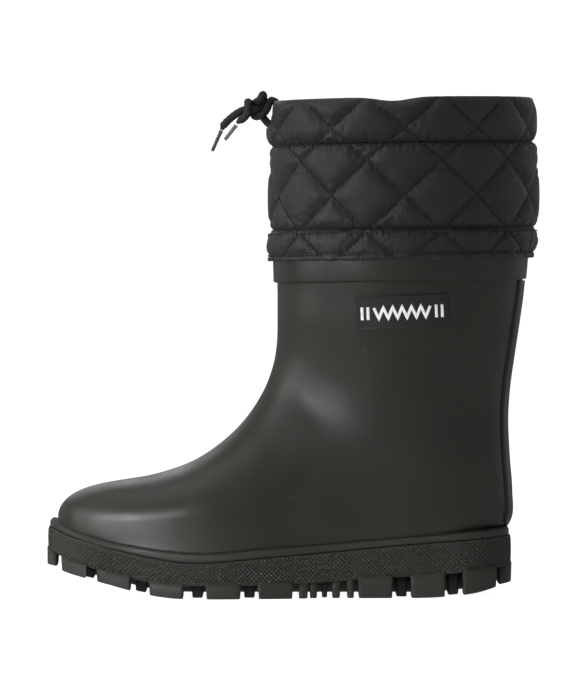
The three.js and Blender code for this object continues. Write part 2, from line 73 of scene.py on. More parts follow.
def make_camera():
    data = bpy.data.cameras.new("camera")
    data.sensor_fit = "HORIZONTAL"
    data.sensor_width = SENSOR_WIDTH
    data.lens = SENSOR_WIDTH * CAMERA_DISTANCE / (IMAGE_WIDTH * MM_PER_PIXEL)
    camera = bpy.data.objects.new("camera", data)
    bpy.context.scene.collection.objects.link(camera)
    lift = math.radians(CAMERA_LIFT)
    x, z = VIEW_CENTRE
    back, up = CAMERA_DISTANCE * math.cos(lift), CAMERA_DISTANCE * math.sin(lift)
    camera.location = Vector((x, -back, z + up)) * MM
    camera.rotation_euler = (math.pi / 2 - lift, 0, 0)
    data.clip_end = 50
    bpy.context.scene.camera = camera


# ---- Small helpers ----------------------------------------------------------------------------
def smooth(values, t):
    """Catmull-Rom through values evenly spaced along their first axis, at the places t."""
    v = np.asarray(values, float)
    t = np.clip(np.asarray(t, float), 0, len(v) - 1)
    i = np.minimum(t.astype(int), len(v) - 2)
    f = np.asarray(t - i)[(...,) + (None,) * (v.ndim - 1)]
    a, b, c, d = (v[np.clip(i + k, 0, len(v) - 1)] for k in (-1, 0, 1, 2))
    return b + 0.5 * f * (c - a + f * (2 * a - 5 * b + 4 * c - d + f * (3 * (b - c) + d - a)))


def curve_through(points):
    xs, ys = (np.array(v, float) for v in zip(*points))

    def at(x):
        inside = np.clip(x, xs[0], xs[-1])
        i = np.clip(np.searchsorted(xs, inside, side="right") - 1, 0, len(xs) - 2)
        return smooth(ys, i + (inside - xs[i]) / (xs[i + 1] - xs[i]))

    return at


def unit(vectors):
    """Vectors scaled to length 1 along the last axis."""
    return vectors / np.maximum(np.linalg.norm(vectors, axis=-1, keepdims=True), 1e-9)


def length_along(line):
    """The length run from the start of a line of points to each of them."""
    return np.concatenate([[0], np.cumsum(np.linalg.norm(np.diff(line, axis=0), axis=1))])


def at_lengths(values, run, at):
    """Rows of values at the lengths at, where run holds the length of each row."""
    return np.stack([np.interp(at, run, values[:, k]) for k in range(values.shape[1])], 1)


def ease(x, low, high):
    """Goes smoothly from 0 at low to 1 at high."""
    t = np.clip((np.asarray(x, float) - low) / (high - low), 0, 1)
    return t * t * (3 - 2 * t)


def wave_noise(points, scale, seed, octaves=3):
    """Smooth noise from -1 to 1 at points in mm, features about scale mm across."""
    draw = np.random.default_rng(seed)
    total = np.zeros(len(points))
    for octave in range(octaves):
        for _ in range(7):
            direction = draw.normal(size=3)
            direction /= np.linalg.norm(direction)
            k = 2 * math.pi / scale * 2 ** octave * draw.uniform(0.7, 1.3)
            total += np.sin(points @ direction * k + draw.uniform(0, 7)) / 2 ** octave
    return total / 6


def mesh_object(name, verts, faces, uvs=None):
    """A piece from vertices in mm. uvs, if given, holds one pair for each vertex, in metres."""
    mesh = bpy.data.meshes.new(name)
    mesh.from_pydata((np.asarray(verts, float) * MM).tolist(), [], [list(map(int, f)) for f in faces])
    mesh.update()
    mesh.polygons.foreach_set("use_smooth", [True] * len(mesh.polygons))
    if uvs is not None:
        layer = mesh.uv_layers.new(name="cloth")
        index = np.zeros(len(mesh.loops), int)
        mesh.loops.foreach_get("vertex_index", index)
        layer.data.foreach_set("uv", (np.asarray(uvs, float)[index] * MM).ravel())
    obj = bpy.data.objects.new(name, mesh)
    bpy.context.scene.collection.objects.link(obj)
    return obj


def grid_faces(rows, columns, wrap_rows=False, wrap_columns=False, start=0):
    r = np.arange(rows if wrap_rows else rows - 1)
    c = np.arange(columns if wrap_columns else columns - 1)
    r, c = (v.ravel() for v in np.meshgrid(r, c, indexing="ij"))
    r2, c2 = (r + 1) % rows, (c + 1) % columns
    quads = np.stack([r * columns + c, r * columns + c2, r2 * columns + c2, r2 * columns + c], 1)
    return (quads + start).tolist()


def grid_normals(p, wrap_columns):
    """Unit normals of a grid of points (rows, columns, 3)."""
    along = np.gradient(p, axis=0)
    if wrap_columns:
        across = (np.roll(p, -1, 1) - np.roll(p, 1, 1)) / 2
    else:
        across = np.gradient(p, axis=1)
    return unit(np.cross(across, along))


def capped(rings, first, last):
    """Closed rings (rows, columns, 3) as vertices and faces, with each end closed by a fan to a point."""
    rows, columns = rings.shape[:2]
    faces = grid_faces(rows, columns, wrap_columns=True)
    centre, end = rows * columns, (rows - 1) * columns
    for j in range(columns):
        k = (j + 1) % columns
        faces += [[centre, k, j], [centre + 1, end + j, end + k]]
    return np.vstack([rings.reshape(-1, 3), first, last]), faces


def slab(face, back):
    """Two grids of the same size as one closed slab: vertices and faces."""
    rows, columns = face.shape[:2]
    count = rows * columns
    faces = grid_faces(rows, columns) + [q[::-1] for q in grid_faces(rows, columns, start=count)]
    index = np.arange(count).reshape(rows, columns)
    border = np.concatenate([index[0], index[1:, -1], index[-1, -2::-1], index[-2:0:-1, 0]]).tolist()
    faces += [[b, a, a + count, b + count] for a, b in zip(border, border[1:] + border[:1])]
    return np.vstack([face.reshape(-1, 3), back.reshape(-1, 3)]), faces


def join_parts(parts):
    """Vertices and faces of several (verts, faces) pairs as one."""
    verts, faces, start = [], [], 0
    for v, f in parts:
        verts.append(np.asarray(v, float))
        faces.extend([[i + start for i in face] for face in f])
        start += len(v)
    return np.vstack(verts), faces


def fix_normals(obj):
    """Turns every face outwards."""
    bm = bmesh.new()
    bm.from_mesh(obj.data)
    bmesh.ops.recalc_face_normals(bm, faces=bm.faces)
    bm.to_mesh(obj.data)
    bm.free()


def finish_piece(obj, body, slot, material, replaces=()):
    obj.data.materials.clear()
    for m in material if isinstance(material, (list, tuple)) else [material]:
        obj.data.materials.append(m)
    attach(obj, body)
    if replaces:
        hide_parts(*replaces)
    return obj


# ---- Drawcord: routes in mm, as in the CAD source, with the knot's strands drawn out -----------------
CORD_DIAMETER = 4.7
LONG_CORD = [  # from the upper exit, round the knot, up and down the bow's ear, and out as the front tail
    (-8.5, 0.6, 287.5), (-10.8, 0.6, 289.6), (-13.0, 0.6, 290.6), (-14.8, 0.6, 289.4),
    (-15.6, 0.4, 287.2), (-16.6, -0.8, 284.4), (-18.6, -2.6, 282.4), (-21.4, -2.6, 282.0),
    (-23.4, -0.2, 282.6), (-24.0, 2.6, 284.6), (-22.6, 3.2, 287.4), (-20.4, 0.6, 288.4),
    (-19.4, -2.0, 290.4), (-18.5, -2.3, 292.8), (-17.6, 0.0, 294.3), (-17.3, 2.3, 292.0),
    (-18.4, 2.6, 288.6), (-20.6, 1.6, 285.6), (-23.6, 0.2, 284.4), (-26.8, -0.4, 286.2),
    (-29.6, -1.0, 285.4), (-32.2, -1.0, 283.6), (-35.2, -1.0, 281.5), (-39.4, -1.1, 277.7),
    (-41.0, -1.2, 275.4), (-42.2, -1.2, 272.9)]
SHORT_CORD = [  # from the lower exit, up behind the knot, over its front and out as the rear tail
    (-11.0, -0.4, 276.4), (-14.6, -0.4, 276.6), (-16.6, 0.0, 278.2), (-18.2, 1.6, 280.6),
    (-20.2, 4.4, 283.4), (-23.0, 5.0, 286.8), (-25.6, 3.0, 289.2), (-26.4, -1.0, 289.6),
    (-26.4, -4.4, 287.6), (-25.6, -5.4, 284.6), (-26.0, -4.6, 281.6), (-28.4, -3.4, 279.9),
    (-31.0, -3.2, 278.6), (-33.2, -3.4, 276.9)]
FRONT_AGLET = ((-42.3, -1.2, 272.6), (-47.7, -1.4, 260.4))
REAR_AGLET = ((-33.5, -3.5, 275.6), (-40.2, -4.6, 267.0))


def route(points, step):
    """Evenly spaced points on a smooth curve through points."""
    line = smooth(points, np.linspace(0, len(points) - 1, 60 * len(points)))
    run = length_along(line)
    return at_lengths(line, run, np.linspace(0, run[-1], int(run[-1] / step) + 1))


def settle(lines, thick, rounds=260):
    """Pushes strands apart where they pass through each other, with each cord's length nearly kept."""
    p = np.vstack(lines)
    start = p.copy()
    owner = np.concatenate([[k] * len(v) for k, v in enumerate(lines)])
    place = np.concatenate([np.arange(len(v)) for v in lines])
    steps = np.linalg.norm(np.diff(p, axis=0), axis=1)
    joined = owner[1:] == owner[:-1]
    along = np.abs(place[:, None] - place[None]) * np.median(steps)
    apart = (owner[:, None] != owner[None]) | (along > 1.8 * thick)
    ends = np.concatenate([np.minimum(np.arange(len(v)), np.arange(len(v))[::-1]) for v in lines])
    free = np.clip((ends - 3) / 4, 0, 1)[:, None]
    inner = joined[1:] & joined[:-1]
    for _ in range(rounds):
        gap = p[:, None] - p[None]
        far = np.maximum(np.linalg.norm(gap, axis=2), 1e-6)
        push = np.where(apart & (far < thick), (thick - far) / far, 0)
        count = np.maximum((push > 0).sum(1), 1)
        p = p + 0.35 * (gap * push[..., None]).sum(1) / count[:, None] * free
        middle = (p[:-2] + p[2:]) / 2
        p[1:-1] += np.where(inner[:, None], 0.3 * (middle - p[1:-1]), 0) * free[1:-1]
        for _ in range(4):
            d = p[1:] - p[:-1]
            size = np.maximum(np.linalg.norm(d, axis=1), 1e-9)
            fix = np.where(joined, 0.5 * (1 - steps / size), 0)[:, None] * d
            p[:-1] += fix * free[:-1]
            p[1:] -= fix * free[1:]
        p += 0.01 * (start - p)
    return [p[owner == k] for k in range(len(lines))]


def tube_frames(line):
    """Two unit normals along a line, turning as little as they can."""
    d = unit(np.gradient(line, axis=0))
    side = [unit(np.cross(d[0], (0, 1, 0.2)))]
    for t in d[1:]:
        side.append(unit(side[-1] - t * side[-1].dot(t)))
    side = np.array(side)
    return side, np.cross(d, side)


def tube(line, radii, sides=24):
    """A closed tube: radii holds one radius for each ring, or one for each ring and side."""
    a, b = tube_frames(line)
    angle = 2 * np.pi * np.arange(sides) / sides
    radii = np.broadcast_to(np.asarray(radii, float).reshape(len(line), -1), (len(line), sides))
    p = line[:, None] + (a[:, None] * np.cos(angle)[None, :, None]
                         + b[:, None] * np.sin(angle)[None, :, None]) * radii[..., None]
    return capped(p, line[0], line[-1])


def braid_radii(run, radius, strands=8, lay=5.2, relief=0.34, sides=32):
    """Radii of a round braid: two families of strands that cross, each passing over the other in turn."""
    angle = 2 * np.pi * np.arange(sides) / sides
    turn = 2 * np.pi * run[:, None] / lay
    right = strands / 2 * angle[None, :] + turn * 2
    left = strands / 2 * angle[None, :] - turn * 2
    over = 0.5 + 0.5 * np.cos((right + left) / 2) * np.cos((right - left) / 2)
    crown = np.maximum(np.abs(np.cos(right / 2)) ** 0.7 * over,
                       np.abs(np.cos(left / 2)) ** 0.7 * (1 - over))
    return radius - relief + relief * 1.25 * crown


def make_cord(name, line, nodes, far_taper=3.2):
    """A braided cord that thins over far_taper where it goes into its aglet."""
    fine = route(line, 0.3)
    run = length_along(fine)
    radii = braid_radii(run, CORD_DIAMETER / 2)
    radii *= 1 - 0.55 * ease(run, run[-1] - far_taper, run[-1])[:, None]
    obj = mesh_object(name, *tube(fine, radii, 32))
    fix_normals(obj)
    finish_piece(obj, "drawcord", "cord", CORD_YARN, nodes)
    path = route(line, 1.5) * MM


def make_aglet(name, ends, radius, node, material):
    """A rolled sleeve over the cord's end: a mouth, a slim body with a lap seam and a rounded tip."""
    a, b = (np.array(v, float) for v in ends)
    share = np.concatenate([[0, 0.004, 0.02, 0.05, 0.09], np.linspace(0.14, 0.86, 26),
                            [0.92, 0.96, 0.985, 0.997, 1]])
    line = a + (b - a) * share[:, None]
    shape = np.interp(share, [0, 0.004, 0.02, 0.06, 0.1, 0.9, 0.96, 0.985, 1],
                      [0.86, 1.1, 1.2, 1.16, 1.0, 0.94, 0.9, 0.72, 0.3])
    angle = 2 * np.pi * np.arange(28) / 28
    lap = 0.07 * np.exp(-((angle - 1.2) / 0.35) ** 2) * (1 - ease(share, 0.9, 1))[:, None]
    pinch = sum(0.05 * np.exp(-((share - place) / 0.05) ** 2) for place in (0.3, 0.62))
    obj = mesh_object(name, *tube(line, radius * (shape[:, None] + lap - pinch[:, None]), 28))
    fix_normals(obj)
    return finish_piece(obj, "drawcord", "aglet", material, [node])


def make_drawcord():
    long_line, short_line = settle([route(LONG_CORD, 1.1), route(SHORT_CORD, 1.1)], CORD_DIAMETER * 0.93)
    front = make_aglet("aglet_front_sleeve", FRONT_AGLET, 1.1, "aglet_front", AGLET_DARK)
    rear = make_aglet("aglet_rear_sleeve", REAR_AGLET, 1.2, "aglet_rear", AGLET_CLEAR)
    make_cord("drawcord_long_end", long_line,
              ["cord_leg_upper", "cord_ear", "cord_tail_front"])
    make_cord("drawcord_short_end", short_line,
              ["cord_leg_lower", "cord_knot", "cord_tail_rear"])


# ---- Sole lines and the upper's sections, as in the CAD source --------------------------------
sole_half_width = curve_through([(-145, 43), (-105, 46.5), (-78, 52), (-50, 53.5), (-15, 48),
                                 (25, 41.5), (65, 41), (95, 41.5), (130, 41)])
sole_middle = curve_through([(-145, 5), (-105, 4), (-78, 1.5), (-50, -1), (-15, -3.5),
                             (25, -3), (65, -1), (95, 0), (130, 0)])
TOE_CAP, HEEL_CAP = -105, 95
TOE_POWER, HEEL_POWER = 2.15, 2.35


def blunt(share, power):
    """Falls from 1 to 0 as share goes from 0 to 1, on a superellipse."""
    return np.maximum(0, 1 - np.maximum(0, share) ** power) ** (1 / power)


def half_width_at(x, inset):
    toe = blunt((TOE_CAP - x) / (TOE_CAP - TOE_TIP - inset), TOE_POWER)
    heel = blunt((x - HEEL_CAP) / (HEEL_END - inset - HEEL_CAP), HEEL_POWER)
    return (sole_half_width(x) - inset) * toe * heel


ground_curve = curve_through([(-146, 18), (-130, 13.5), (-110, 8.5), (-90, 3.5), (-72, 0.6), (-55, 0),
                              (-25, 0), (10, 0), (45, 0), (80, 0.2), (105, 2.6), (130, 8.5)])
wall_bottom = curve_through([(-146, 27), (-130, 20.6), (-110, 15.3), (-90, 10.5), (-72, 8), (-50, 7.7),
                             (-15, 8), (20, 9.6), (55, 11.8), (85, 13.5), (130, 18)])
wall_top = curve_through([(-146, 40), (-130, 34.5), (-110, 29.2), (-90, 24.6), (-68, 21), (-50, 20.6),
                          (-20, 23.2), (20, 26.4), (60, 30), (95, 32.8), (130, 35)])
foxing_top = curve_through([(-146, 44.8), (-130, 39), (-110, 33.3), (-90, 29.6), (-68, 27), (-50, 26.2),
                            (-20, 28.6), (20, 31.4), (60, 34.6), (95, 37.4), (130, 40)])


def ground_line(x):
    return np.maximum(0, ground_curve(x))


# front x, front z, back x, back z, half width, side shift, front power, back power
SECTIONS = np.array([
    (-105, 66.6, -105, 20.6, 43, 3.5, 2.4, 3.6),
    (-84, 69.6, -80, 18.2, 48, 1.5, 2.25, 3.8),
    (-60, 77.8, -47, 17.4, 49.3, -1, 2.1, 3.8),
    (-42, 89.6, -10, 19, 45.5, -2.5, 2, 3.6),
    (-28, 103.4, 30, 21.5, 41.5, -2, 2, 3.4),
    (-17.6, 119.4, 72, 24.5, 40, -1, 2, 3.2),
    (-12, 134, 109, 28.6, 40.5, 0, 2, 2.9),
    (-9.8, 146, 126.2, 43, 42, 0, 2.05, 2.5),
    (-9.3, 155.4, 127.6, 61, 43.8, 0, 2.1, 2.3),
    (-9.3, 163, 126.2, 81, 46, 0, 2.1, 2.2),
    (-9.3, 169.6, 125.2, 102, 48.4, 0, 2.1, 2.15),
    (-9.3, 176, 126.2, 121, 51, 0, 2.05, 2.1),
    (-9.4, 182.6, 129, 141, 53.4, 0, 2, 2.05),
    (-9.5, 189.6, 132, 161, 55.4, 0, 2, 2),
    (-9.7, 198, 134.6, 181, 56.8, 0, 2, 2),
    (-10, 212, 137, 212, 57.6, 0, 2, 2),
])
UPPER_TIP, UPPER_TIP_HEIGHT = -138.8, (63, 26)
CAP_POWER = 2.3


def upper_grid(inset, cap_rings, body_rings, sides, last):
    """The upper's outer face moved inwards by inset: rings from the toe up to section number last."""
    start = SECTIONS[0, 0]
    length = start - UPPER_TIP
    angle = np.pi / 2 * np.linspace(0.02, 1, cap_rings, endpoint=False)
    x = start - (length - inset) * np.cos(angle) ** (2 / CAP_POWER)
    share = (start - x) / length
    cap = np.repeat(SECTIONS[:1], cap_rings, 0)
    cap[:, 0] = cap[:, 2] = x
    cap[:, 1] += share * (UPPER_TIP_HEIGHT[0] - SECTIONS[0, 1])
    cap[:, 3] += share * (UPPER_TIP_HEIGHT[1] - SECTIONS[0, 3])
    cap[:, 5] += share
    swell = np.concatenate([np.sin(angle) ** (2 / CAP_POWER), np.ones(body_rings)])
    t = np.linspace(0, last, body_rings)
    rows = np.vstack([cap, smooth(SECTIONS, t)])
    front, back = rows[:, 0:2], rows[:, 2:4]
    reach = front - back
    size = np.linalg.norm(reach, axis=1)
    reach /= size[:, None]
    long = (size / 2 - inset) * swell
    wide = (rows[:, 4] - inset) * swell
    a = 2 * np.pi * np.arange(sides) / sides
    c, s = np.cos(a), np.sin(a)
    power = 2 / np.where(c[None, :] > 0, rows[:, 6:7], rows[:, 7:8])
    along = long[:, None] * np.sign(c) * np.abs(c) ** power
    across = wide[:, None] * np.sign(s) * np.abs(s) ** power
    middle = (front + back) / 2
    return np.stack([
        middle[:, 0:1] + reach[:, 0:1] * along,
        rows[:, 5:6] + across,
        middle[:, 1:2] + reach[:, 1:2] * along,
    ], 2)


def slope_at(x):
    return COLLAR_SLOPE * (x - COLLAR_CENTRE)


def closed_grid(name, p):
    """A grid of closed rings, with each end ring closed straight across, as a mesh piece."""
    rows, columns = p.shape[:2]
    faces = grid_faces(rows, columns, wrap_columns=True)
    for first in (0, (rows - 1) * columns):
        a, b = first, first + columns - 1
        while b - a > 2:
            faces.append([a, a + 1, b - 1, b])
            a, b = a + 1, b - 1
        if b - a == 2:
            faces.append([a, a + 1, b])
    obj = mesh_object(name, p.reshape(-1, 3), faces)
    fix_normals(obj)
    return obj


# ---- Materials ---------------------------------------------------------------------------------
class Nodes:
    """A short way to wire a material's nodes."""

    def __init__(self, name):
        self.material = bpy.data.materials.new(name)
        self.material.use_nodes = True
        self.tree = self.material.node_tree
        self.shader = self.tree.nodes["Principled BSDF"]

    def add(self, kind, inputs=None, **settings):
        node = self.tree.nodes.new(kind)
        for key, value in settings.items():
            setattr(node, key, value)
        for key, value in (inputs or {}).items():
            self.put(value, node.inputs[key])
        return node

    def put(self, value, socket):
        if isinstance(value, bpy.types.NodeSocket):
            self.tree.links.new(value, socket)
        else:
            socket.default_value = value

    def math(self, operation, a, b=0.5):
        node = self.add("ShaderNodeMath", operation=operation)
        self.put(a, node.inputs[0])
        self.put(b, node.inputs[1])
        return node.outputs[0]

    def place(self):
        return self.add("ShaderNodeTexCoord").outputs["Object"]

    def noise(self, scale, detail=3, vector=None, roughness=0.5):
        vector = self.place() if vector is None else vector
        inputs = {"Vector": vector, "Scale": scale, "Detail": detail, "Roughness": roughness}
        return self.add("ShaderNodeTexNoise", inputs).outputs["Fac"]

    def spread(self, value, low, high, to_low, to_high):
        inputs = {"Value": value, "From Min": low, "From Max": high, "To Min": to_low, "To Max": to_high}
        return self.add("ShaderNodeMapRange", inputs).outputs["Result"]

    def blend(self, fac, a, b):
        node = self.add("ShaderNodeMix", data_type="RGBA")
        self.put(fac, node.inputs["Factor"])
        self.put(a, node.inputs["A"])
        self.put(b, node.inputs["B"])
        return node.outputs["Result"]

    def bump(self, height, distance, strength=1.0, normal=None):
        inputs = {"Height": height, "Distance": distance, "Strength": strength}
        if normal is not None:
            inputs["Normal"] = normal
        return self.add("ShaderNodeBump", inputs).outputs["Normal"]

    def surface(self, **inputs):
        for key, value in inputs.items():
            self.put(value, self.shader.inputs[key.replace("_", " ")])
        return self.material


def rgb(r, g, b):
    return (r, g, b, 1)


def tint(colour, factor):
    return rgb(*[min(1, v * factor) for v in colour])


def rubber(name, colour, roughness, grain, dust=True):
    """Black rubber: soft blotches in its gloss, a fine skin grain and a few specks of dust."""
    n = Nodes(name)
    blotch = n.noise(38, 4)
    fine = n.noise(2600, 2)
    shade = n.spread(blotch, 0.3, 0.7, 0.85, 1.2)
    base = n.blend(n.spread(n.noise(14, 3), 0.35, 0.65, 0, 1),
                   tint(colour, 0.88), tint(colour, 1.15))
    if dust:
        specks = n.add("ShaderNodeTexVoronoi", {"Vector": n.place(), "Scale": 170, "Randomness": 1})
        dot = n.math("LESS_THAN", specks.outputs["Distance"], 0.055)
        chance = n.add("ShaderNodeSeparateColor", {"Color": specks.outputs["Color"]})
        few = n.math("GREATER_THAN", chance.outputs["Red"], 0.93)
        base = n.blend(n.math("MULTIPLY", n.math("MULTIPLY", dot, few), 0.5), base, rgb(0.3, 0.29, 0.27))
    skin = n.bump(fine, 0.00006, grain)
    skin = n.bump(n.noise(420, 3), 0.00012, grain, skin)
    return n.surface(Base_Color=base, Roughness=n.math("MULTIPLY", shade, roughness), Normal=skin)


def woven(name, colour, roughness, pitch, depth, sheen, blotch=0.12):
    """Woven nylon on a piece with cloth coordinates in metres: crossing yarns and a heavier grid. Its colour
    carries painted shade and highlight: darker in the valleys between yarns, lighter on their crowns and on
    the heavy grid, with random blotches.
    """
    n = Nodes(name)
    uv = n.add("ShaderNodeTexCoord").outputs["UV"]
    parts = n.add("ShaderNodeSeparateXYZ", {"Vector": uv})
    wander = n.math("MULTIPLY", n.noise(60, 2), pitch * 2)
    across = n.math("ADD", parts.outputs["X"], wander)
    up = n.math("ADD", parts.outputs["Y"], wander)

    def yarn(value, step):
        return n.spread(n.math("SINE", n.math("MULTIPLY", value, 2 * math.pi / step)), -1, 1, 0, 1)

    warp, weft = yarn(across, pitch), yarn(up, pitch)
    cloth = n.math("MAXIMUM", warp, weft)
    thick = n.math("MAXIMUM", n.math("POWER", yarn(across, pitch * 6), 8),
                   n.math("POWER", yarn(up, pitch * 4), 8))
    height = n.math("ADD", n.math("MULTIPLY", cloth, 0.7), n.math("MULTIPLY", thick, 0.2))
    # painted shade and highlight: the colour follows the weave's height, darker in the valleys between yarns
    # and lighter on their crowns and on the heavy grid; the noise below adds random blotches
    weave_shade_and_blotch = n.spread(height, 0, 1.2, 0.7, 1.15)
    weave_shade_and_blotch = n.math("MULTIPLY", weave_shade_and_blotch, n.spread(n.noise(90, 4), 0.3, 0.7, 1 - blotch, 1 + blotch))
    base = n.blend(n.spread(weave_shade_and_blotch, 0.6, 1.3, 0, 1), tint(colour, 0.6), tint(colour, 1.25))
    weave = n.bump(height, depth, 0.8)
    weave = n.bump(n.noise(700, 4), 0.0002, 0.5, weave)
    rough = n.spread(weave_shade_and_blotch, 0.7, 1.2, roughness + 0.08, roughness - 0.06)
    return n.surface(Base_Color=base, Roughness=rough, Normal=weave, Sheen_Weight=sheen,
                     Sheen_Roughness=0.4, Sheen_Tint=rgb(0.6, 0.6, 0.62))


def fuzzy(name, colour, scale, depth):
    """Felt, fleece or foam: a matte surface with a fibrous or open skin."""
    n = Nodes(name)
    fine, soft = n.noise(scale, 5, roughness=0.7), n.noise(scale / 8, 3)
    base = n.blend(n.spread(fine, 0.3, 0.7, 0, 1), tint(colour, 0.6), tint(colour, 1.35))
    skin = n.bump(fine, depth, 0.9)
    skin = n.bump(soft, depth * 3, 0.5, skin)
    return n.surface(Base_Color=base, Roughness=0.95, Normal=skin, Sheen_Weight=0.25, Sheen_Roughness=0.5)


def board(name, colour, scale):
    """Pressed fibre board or stiffening sheet."""
    n = Nodes(name)
    fibres = n.noise(scale, 6, roughness=0.75)
    base = n.blend(n.spread(fibres, 0.35, 0.65, 0, 1), tint(colour, 0.7), tint(colour, 1.2))
    return n.surface(Base_Color=base, Roughness=0.85, Normal=n.bump(fibres, 0.0002, 0.6))


def thread(name, colour):
    """Twisted yarn. Its colour carries painted shade and highlight: darker in the twist's grooves and
    lighter on its crowns, along the same bands as its bump.
    """
    n = Nodes(name)
    twist = n.add("ShaderNodeTexWave", {"Vector": n.place(), "Scale": 900, "Distortion": 1.5})
    # painted shade and highlight: the colour follows the twist's relief, darker in its grooves and lighter
    # on its crowns
    base = n.blend(twist.outputs["Fac"], tint(colour, 0.5), tint(colour, 1.5))
    return n.surface(Base_Color=base, Roughness=0.7, Normal=n.bump(twist.outputs["Fac"], 0.0001, 0.5))


def clear_sleeve(name, colour, transmission):
    """Translucent plastic film."""
    n = Nodes(name)
    streak = n.noise(500, 3)
    base = n.blend(streak, tint(colour, 0.8), tint(colour, 1.2))
    return n.surface(Base_Color=base, Roughness=n.spread(streak, 0.3, 0.7, 0.12, 0.3),
                     Normal=n.bump(streak, 0.0001, 0.3), Transmission_Weight=transmission, IOR=1.46)


UPPER_RUBBER = rubber("upper_rubber", (0.0195, 0.018, 0.0138), 0.42, 0.45)
TRIM_RUBBER = rubber("trim_rubber", (0.021, 0.0192, 0.0152), 0.38, 0.4)
SOLE_RUBBER = rubber("sole_rubber", (0.022, 0.0206, 0.0165), 0.58, 0.2)
GLUE = rubber("glue", (0.006, 0.0055, 0.0045), 0.7, 0.7, dust=False)
LABEL_RUBBER = rubber("label_rubber", (0.016, 0.0155, 0.0145), 0.55, 0.7, dust=False)
MOTIF_PRINT = rubber("motif_print", (0.82, 0.82, 0.8), 0.5, 0.5, dust=False)
NYLON = woven("quilted_nylon", (0.0185, 0.0165, 0.0135), 0.48, 0.0011, 0.0002, 0.12)
PLAIN_CLOTH = woven("collar_cloth", (0.015, 0.015, 0.016), 0.65, 0.0006, 0.0001, 0.1)
STITCH = thread("stitch_thread", (0.0035, 0.0033, 0.003))
CORD_YARN = thread("cord_yarn", (0.026, 0.0245, 0.021))
FLEECE = fuzzy("fleece_lining", (0.05, 0.05, 0.055), 900, 0.0005)
FELT = fuzzy("felt", (0.075, 0.075, 0.08), 1300, 0.0003)
FOAM = fuzzy("foam", (0.09, 0.09, 0.095), 1700, 0.0002)
BOARD = board("fibre_board", (0.3, 0.24, 0.17), 300)
STIFFENER = board("stiffener", (0.32, 0.28, 0.22), 500)
AGLET_DARK = clear_sleeve("aglet_dark", (0.09, 0.088, 0.08), 0.15)
AGLET_CLEAR = clear_sleeve("aglet_clear", (0.24, 0.235, 0.225), 0.25)


# ---- Upper ---------------------------------------------------------------------------------------
SIDES = 132
CREASES = [  # start, end as (x, z), height, width, all in mm: soft dents and ridges at the ankle
    ((2, 118), (19, 99), -0.75, 7),
    ((27, 90), (118, 114), 0.62, 5),
    ((24, 84), (110, 106), -0.42, 6),
    ((17, 92), (-7, 44), -0.75, 5.5),
    ((6, 84), (-19, 48), 0.45, 6),
    ((-12, 92), (-46, 58), -0.3, 9),
    ((40, 140), (112, 152), -0.2, 10),
]


def crease_height(p):
    """How far each point of the upper stands out, by soft creases and a slow unevenness."""
    x, y, z = p[..., 0], p[..., 1], p[..., 2]
    total = np.zeros(x.shape)
    for (x0, z0), (x1, z1), height, width in CREASES:
        dx, dz = x1 - x0, z1 - z0
        t = np.clip(((x - x0) * dx + (z - z0) * dz) / (dx * dx + dz * dz), 0, 1)
        away = np.hypot(x - x0 - t * dx, z - z0 - t * dz)
        along = np.sin(np.pi * np.clip(t, 0.04, 0.96)) ** 0.6
        total += height * np.exp(-((away / width) ** 2)) * along
    side = np.where(y < 0, ease(-y, 8, 26), 0.6 * ease(y, 8, 26))
    slow = wave_noise(p.reshape(-1, 3), 85, 5, 2).reshape(x.shape)
    return total * side + 0.32 * slow * ease(180 - z, 0, 30)


def outward(p, normals):
    """Normals of a grid of rings, turned away from the rings' middles."""
    centre = p.mean(1, keepdims=True)
    sign = np.sign(((p - centre) * normals).sum(2, keepdims=True).mean())
    return normals * sign


LEDGE = 2.6  # from the sole's outline to the upper, where the two meet


def meet_foxing(p, inset):
    """Fills out the upper's lowest part so that its side comes down to the foxing without tucking in."""
    x = np.clip(p[..., 0], TOE_TIP + LEDGE + 0.5, HEEL_END - LEDGE - 0.5)
    target = half_width_at(x, LEDGE) - inset
    middle = sole_middle(x)
    off = p[..., 1] - middle
    low = 1 - ease(p[..., 2], foxing_top(x) - 4, foxing_top(x) + 17)
    low = low * ease(p[..., 2], foxing_top(x) - 16, foxing_top(x) - 9)
    grown = np.sign(off) * np.maximum(np.abs(off), np.minimum(target, np.abs(off) + 7))
    near_side = ease(np.abs(off) / np.maximum(target, 1), 0.55, 0.9)
    p = p.copy()
    p[..., 1] = middle + off + (grown - off) * low * near_side
    return p


CREASE_SHARE = 0.6
LAST_SECTION = 14.6  # the skin's top edge, under the collar


def creased_upper(inset, cap_rings, body_rings, sides):
    """The upper's skin moved inwards by inset, with its dents and a smooth run into the toe cap."""
    p = meet_foxing(upper_grid(inset, cap_rings, body_rings, sides, LAST_SECTION), inset)
    near_cap = np.exp(-(((np.arange(len(p)) - cap_rings) / 9) ** 2))[1:-1, None, None]
    for _ in range(30):
        p[1:-1] += near_cap * ((p[:-2] + p[2:]) / 2 - p[1:-1])
    n = outward(p, grid_normals(p, True))
    return p + n * (CREASE_SHARE * crease_height(p))[..., None]


outer_skin = creased_upper(0, 26, 170, SIDES)
UPPER_TREE = BVHTree.FromPolygons(
    [Vector(v) for v in outer_skin.reshape(-1, 3)],
    grid_faces(*outer_skin.shape[:2], wrap_columns=True))


def cast(origin, direction):
    """Where a ray meets the upper, with the outward normal there."""
    origin, direction = Vector(origin), Vector(direction)
    hit, normal, _, _ = UPPER_TREE.ray_cast(origin, direction)
    if hit is None:
        raise RuntimeError(f"nothing on the upper at {tuple(origin)}")
    if normal.dot(direction) > 0:
        normal = -normal
    return np.array(hit), np.array(normal)


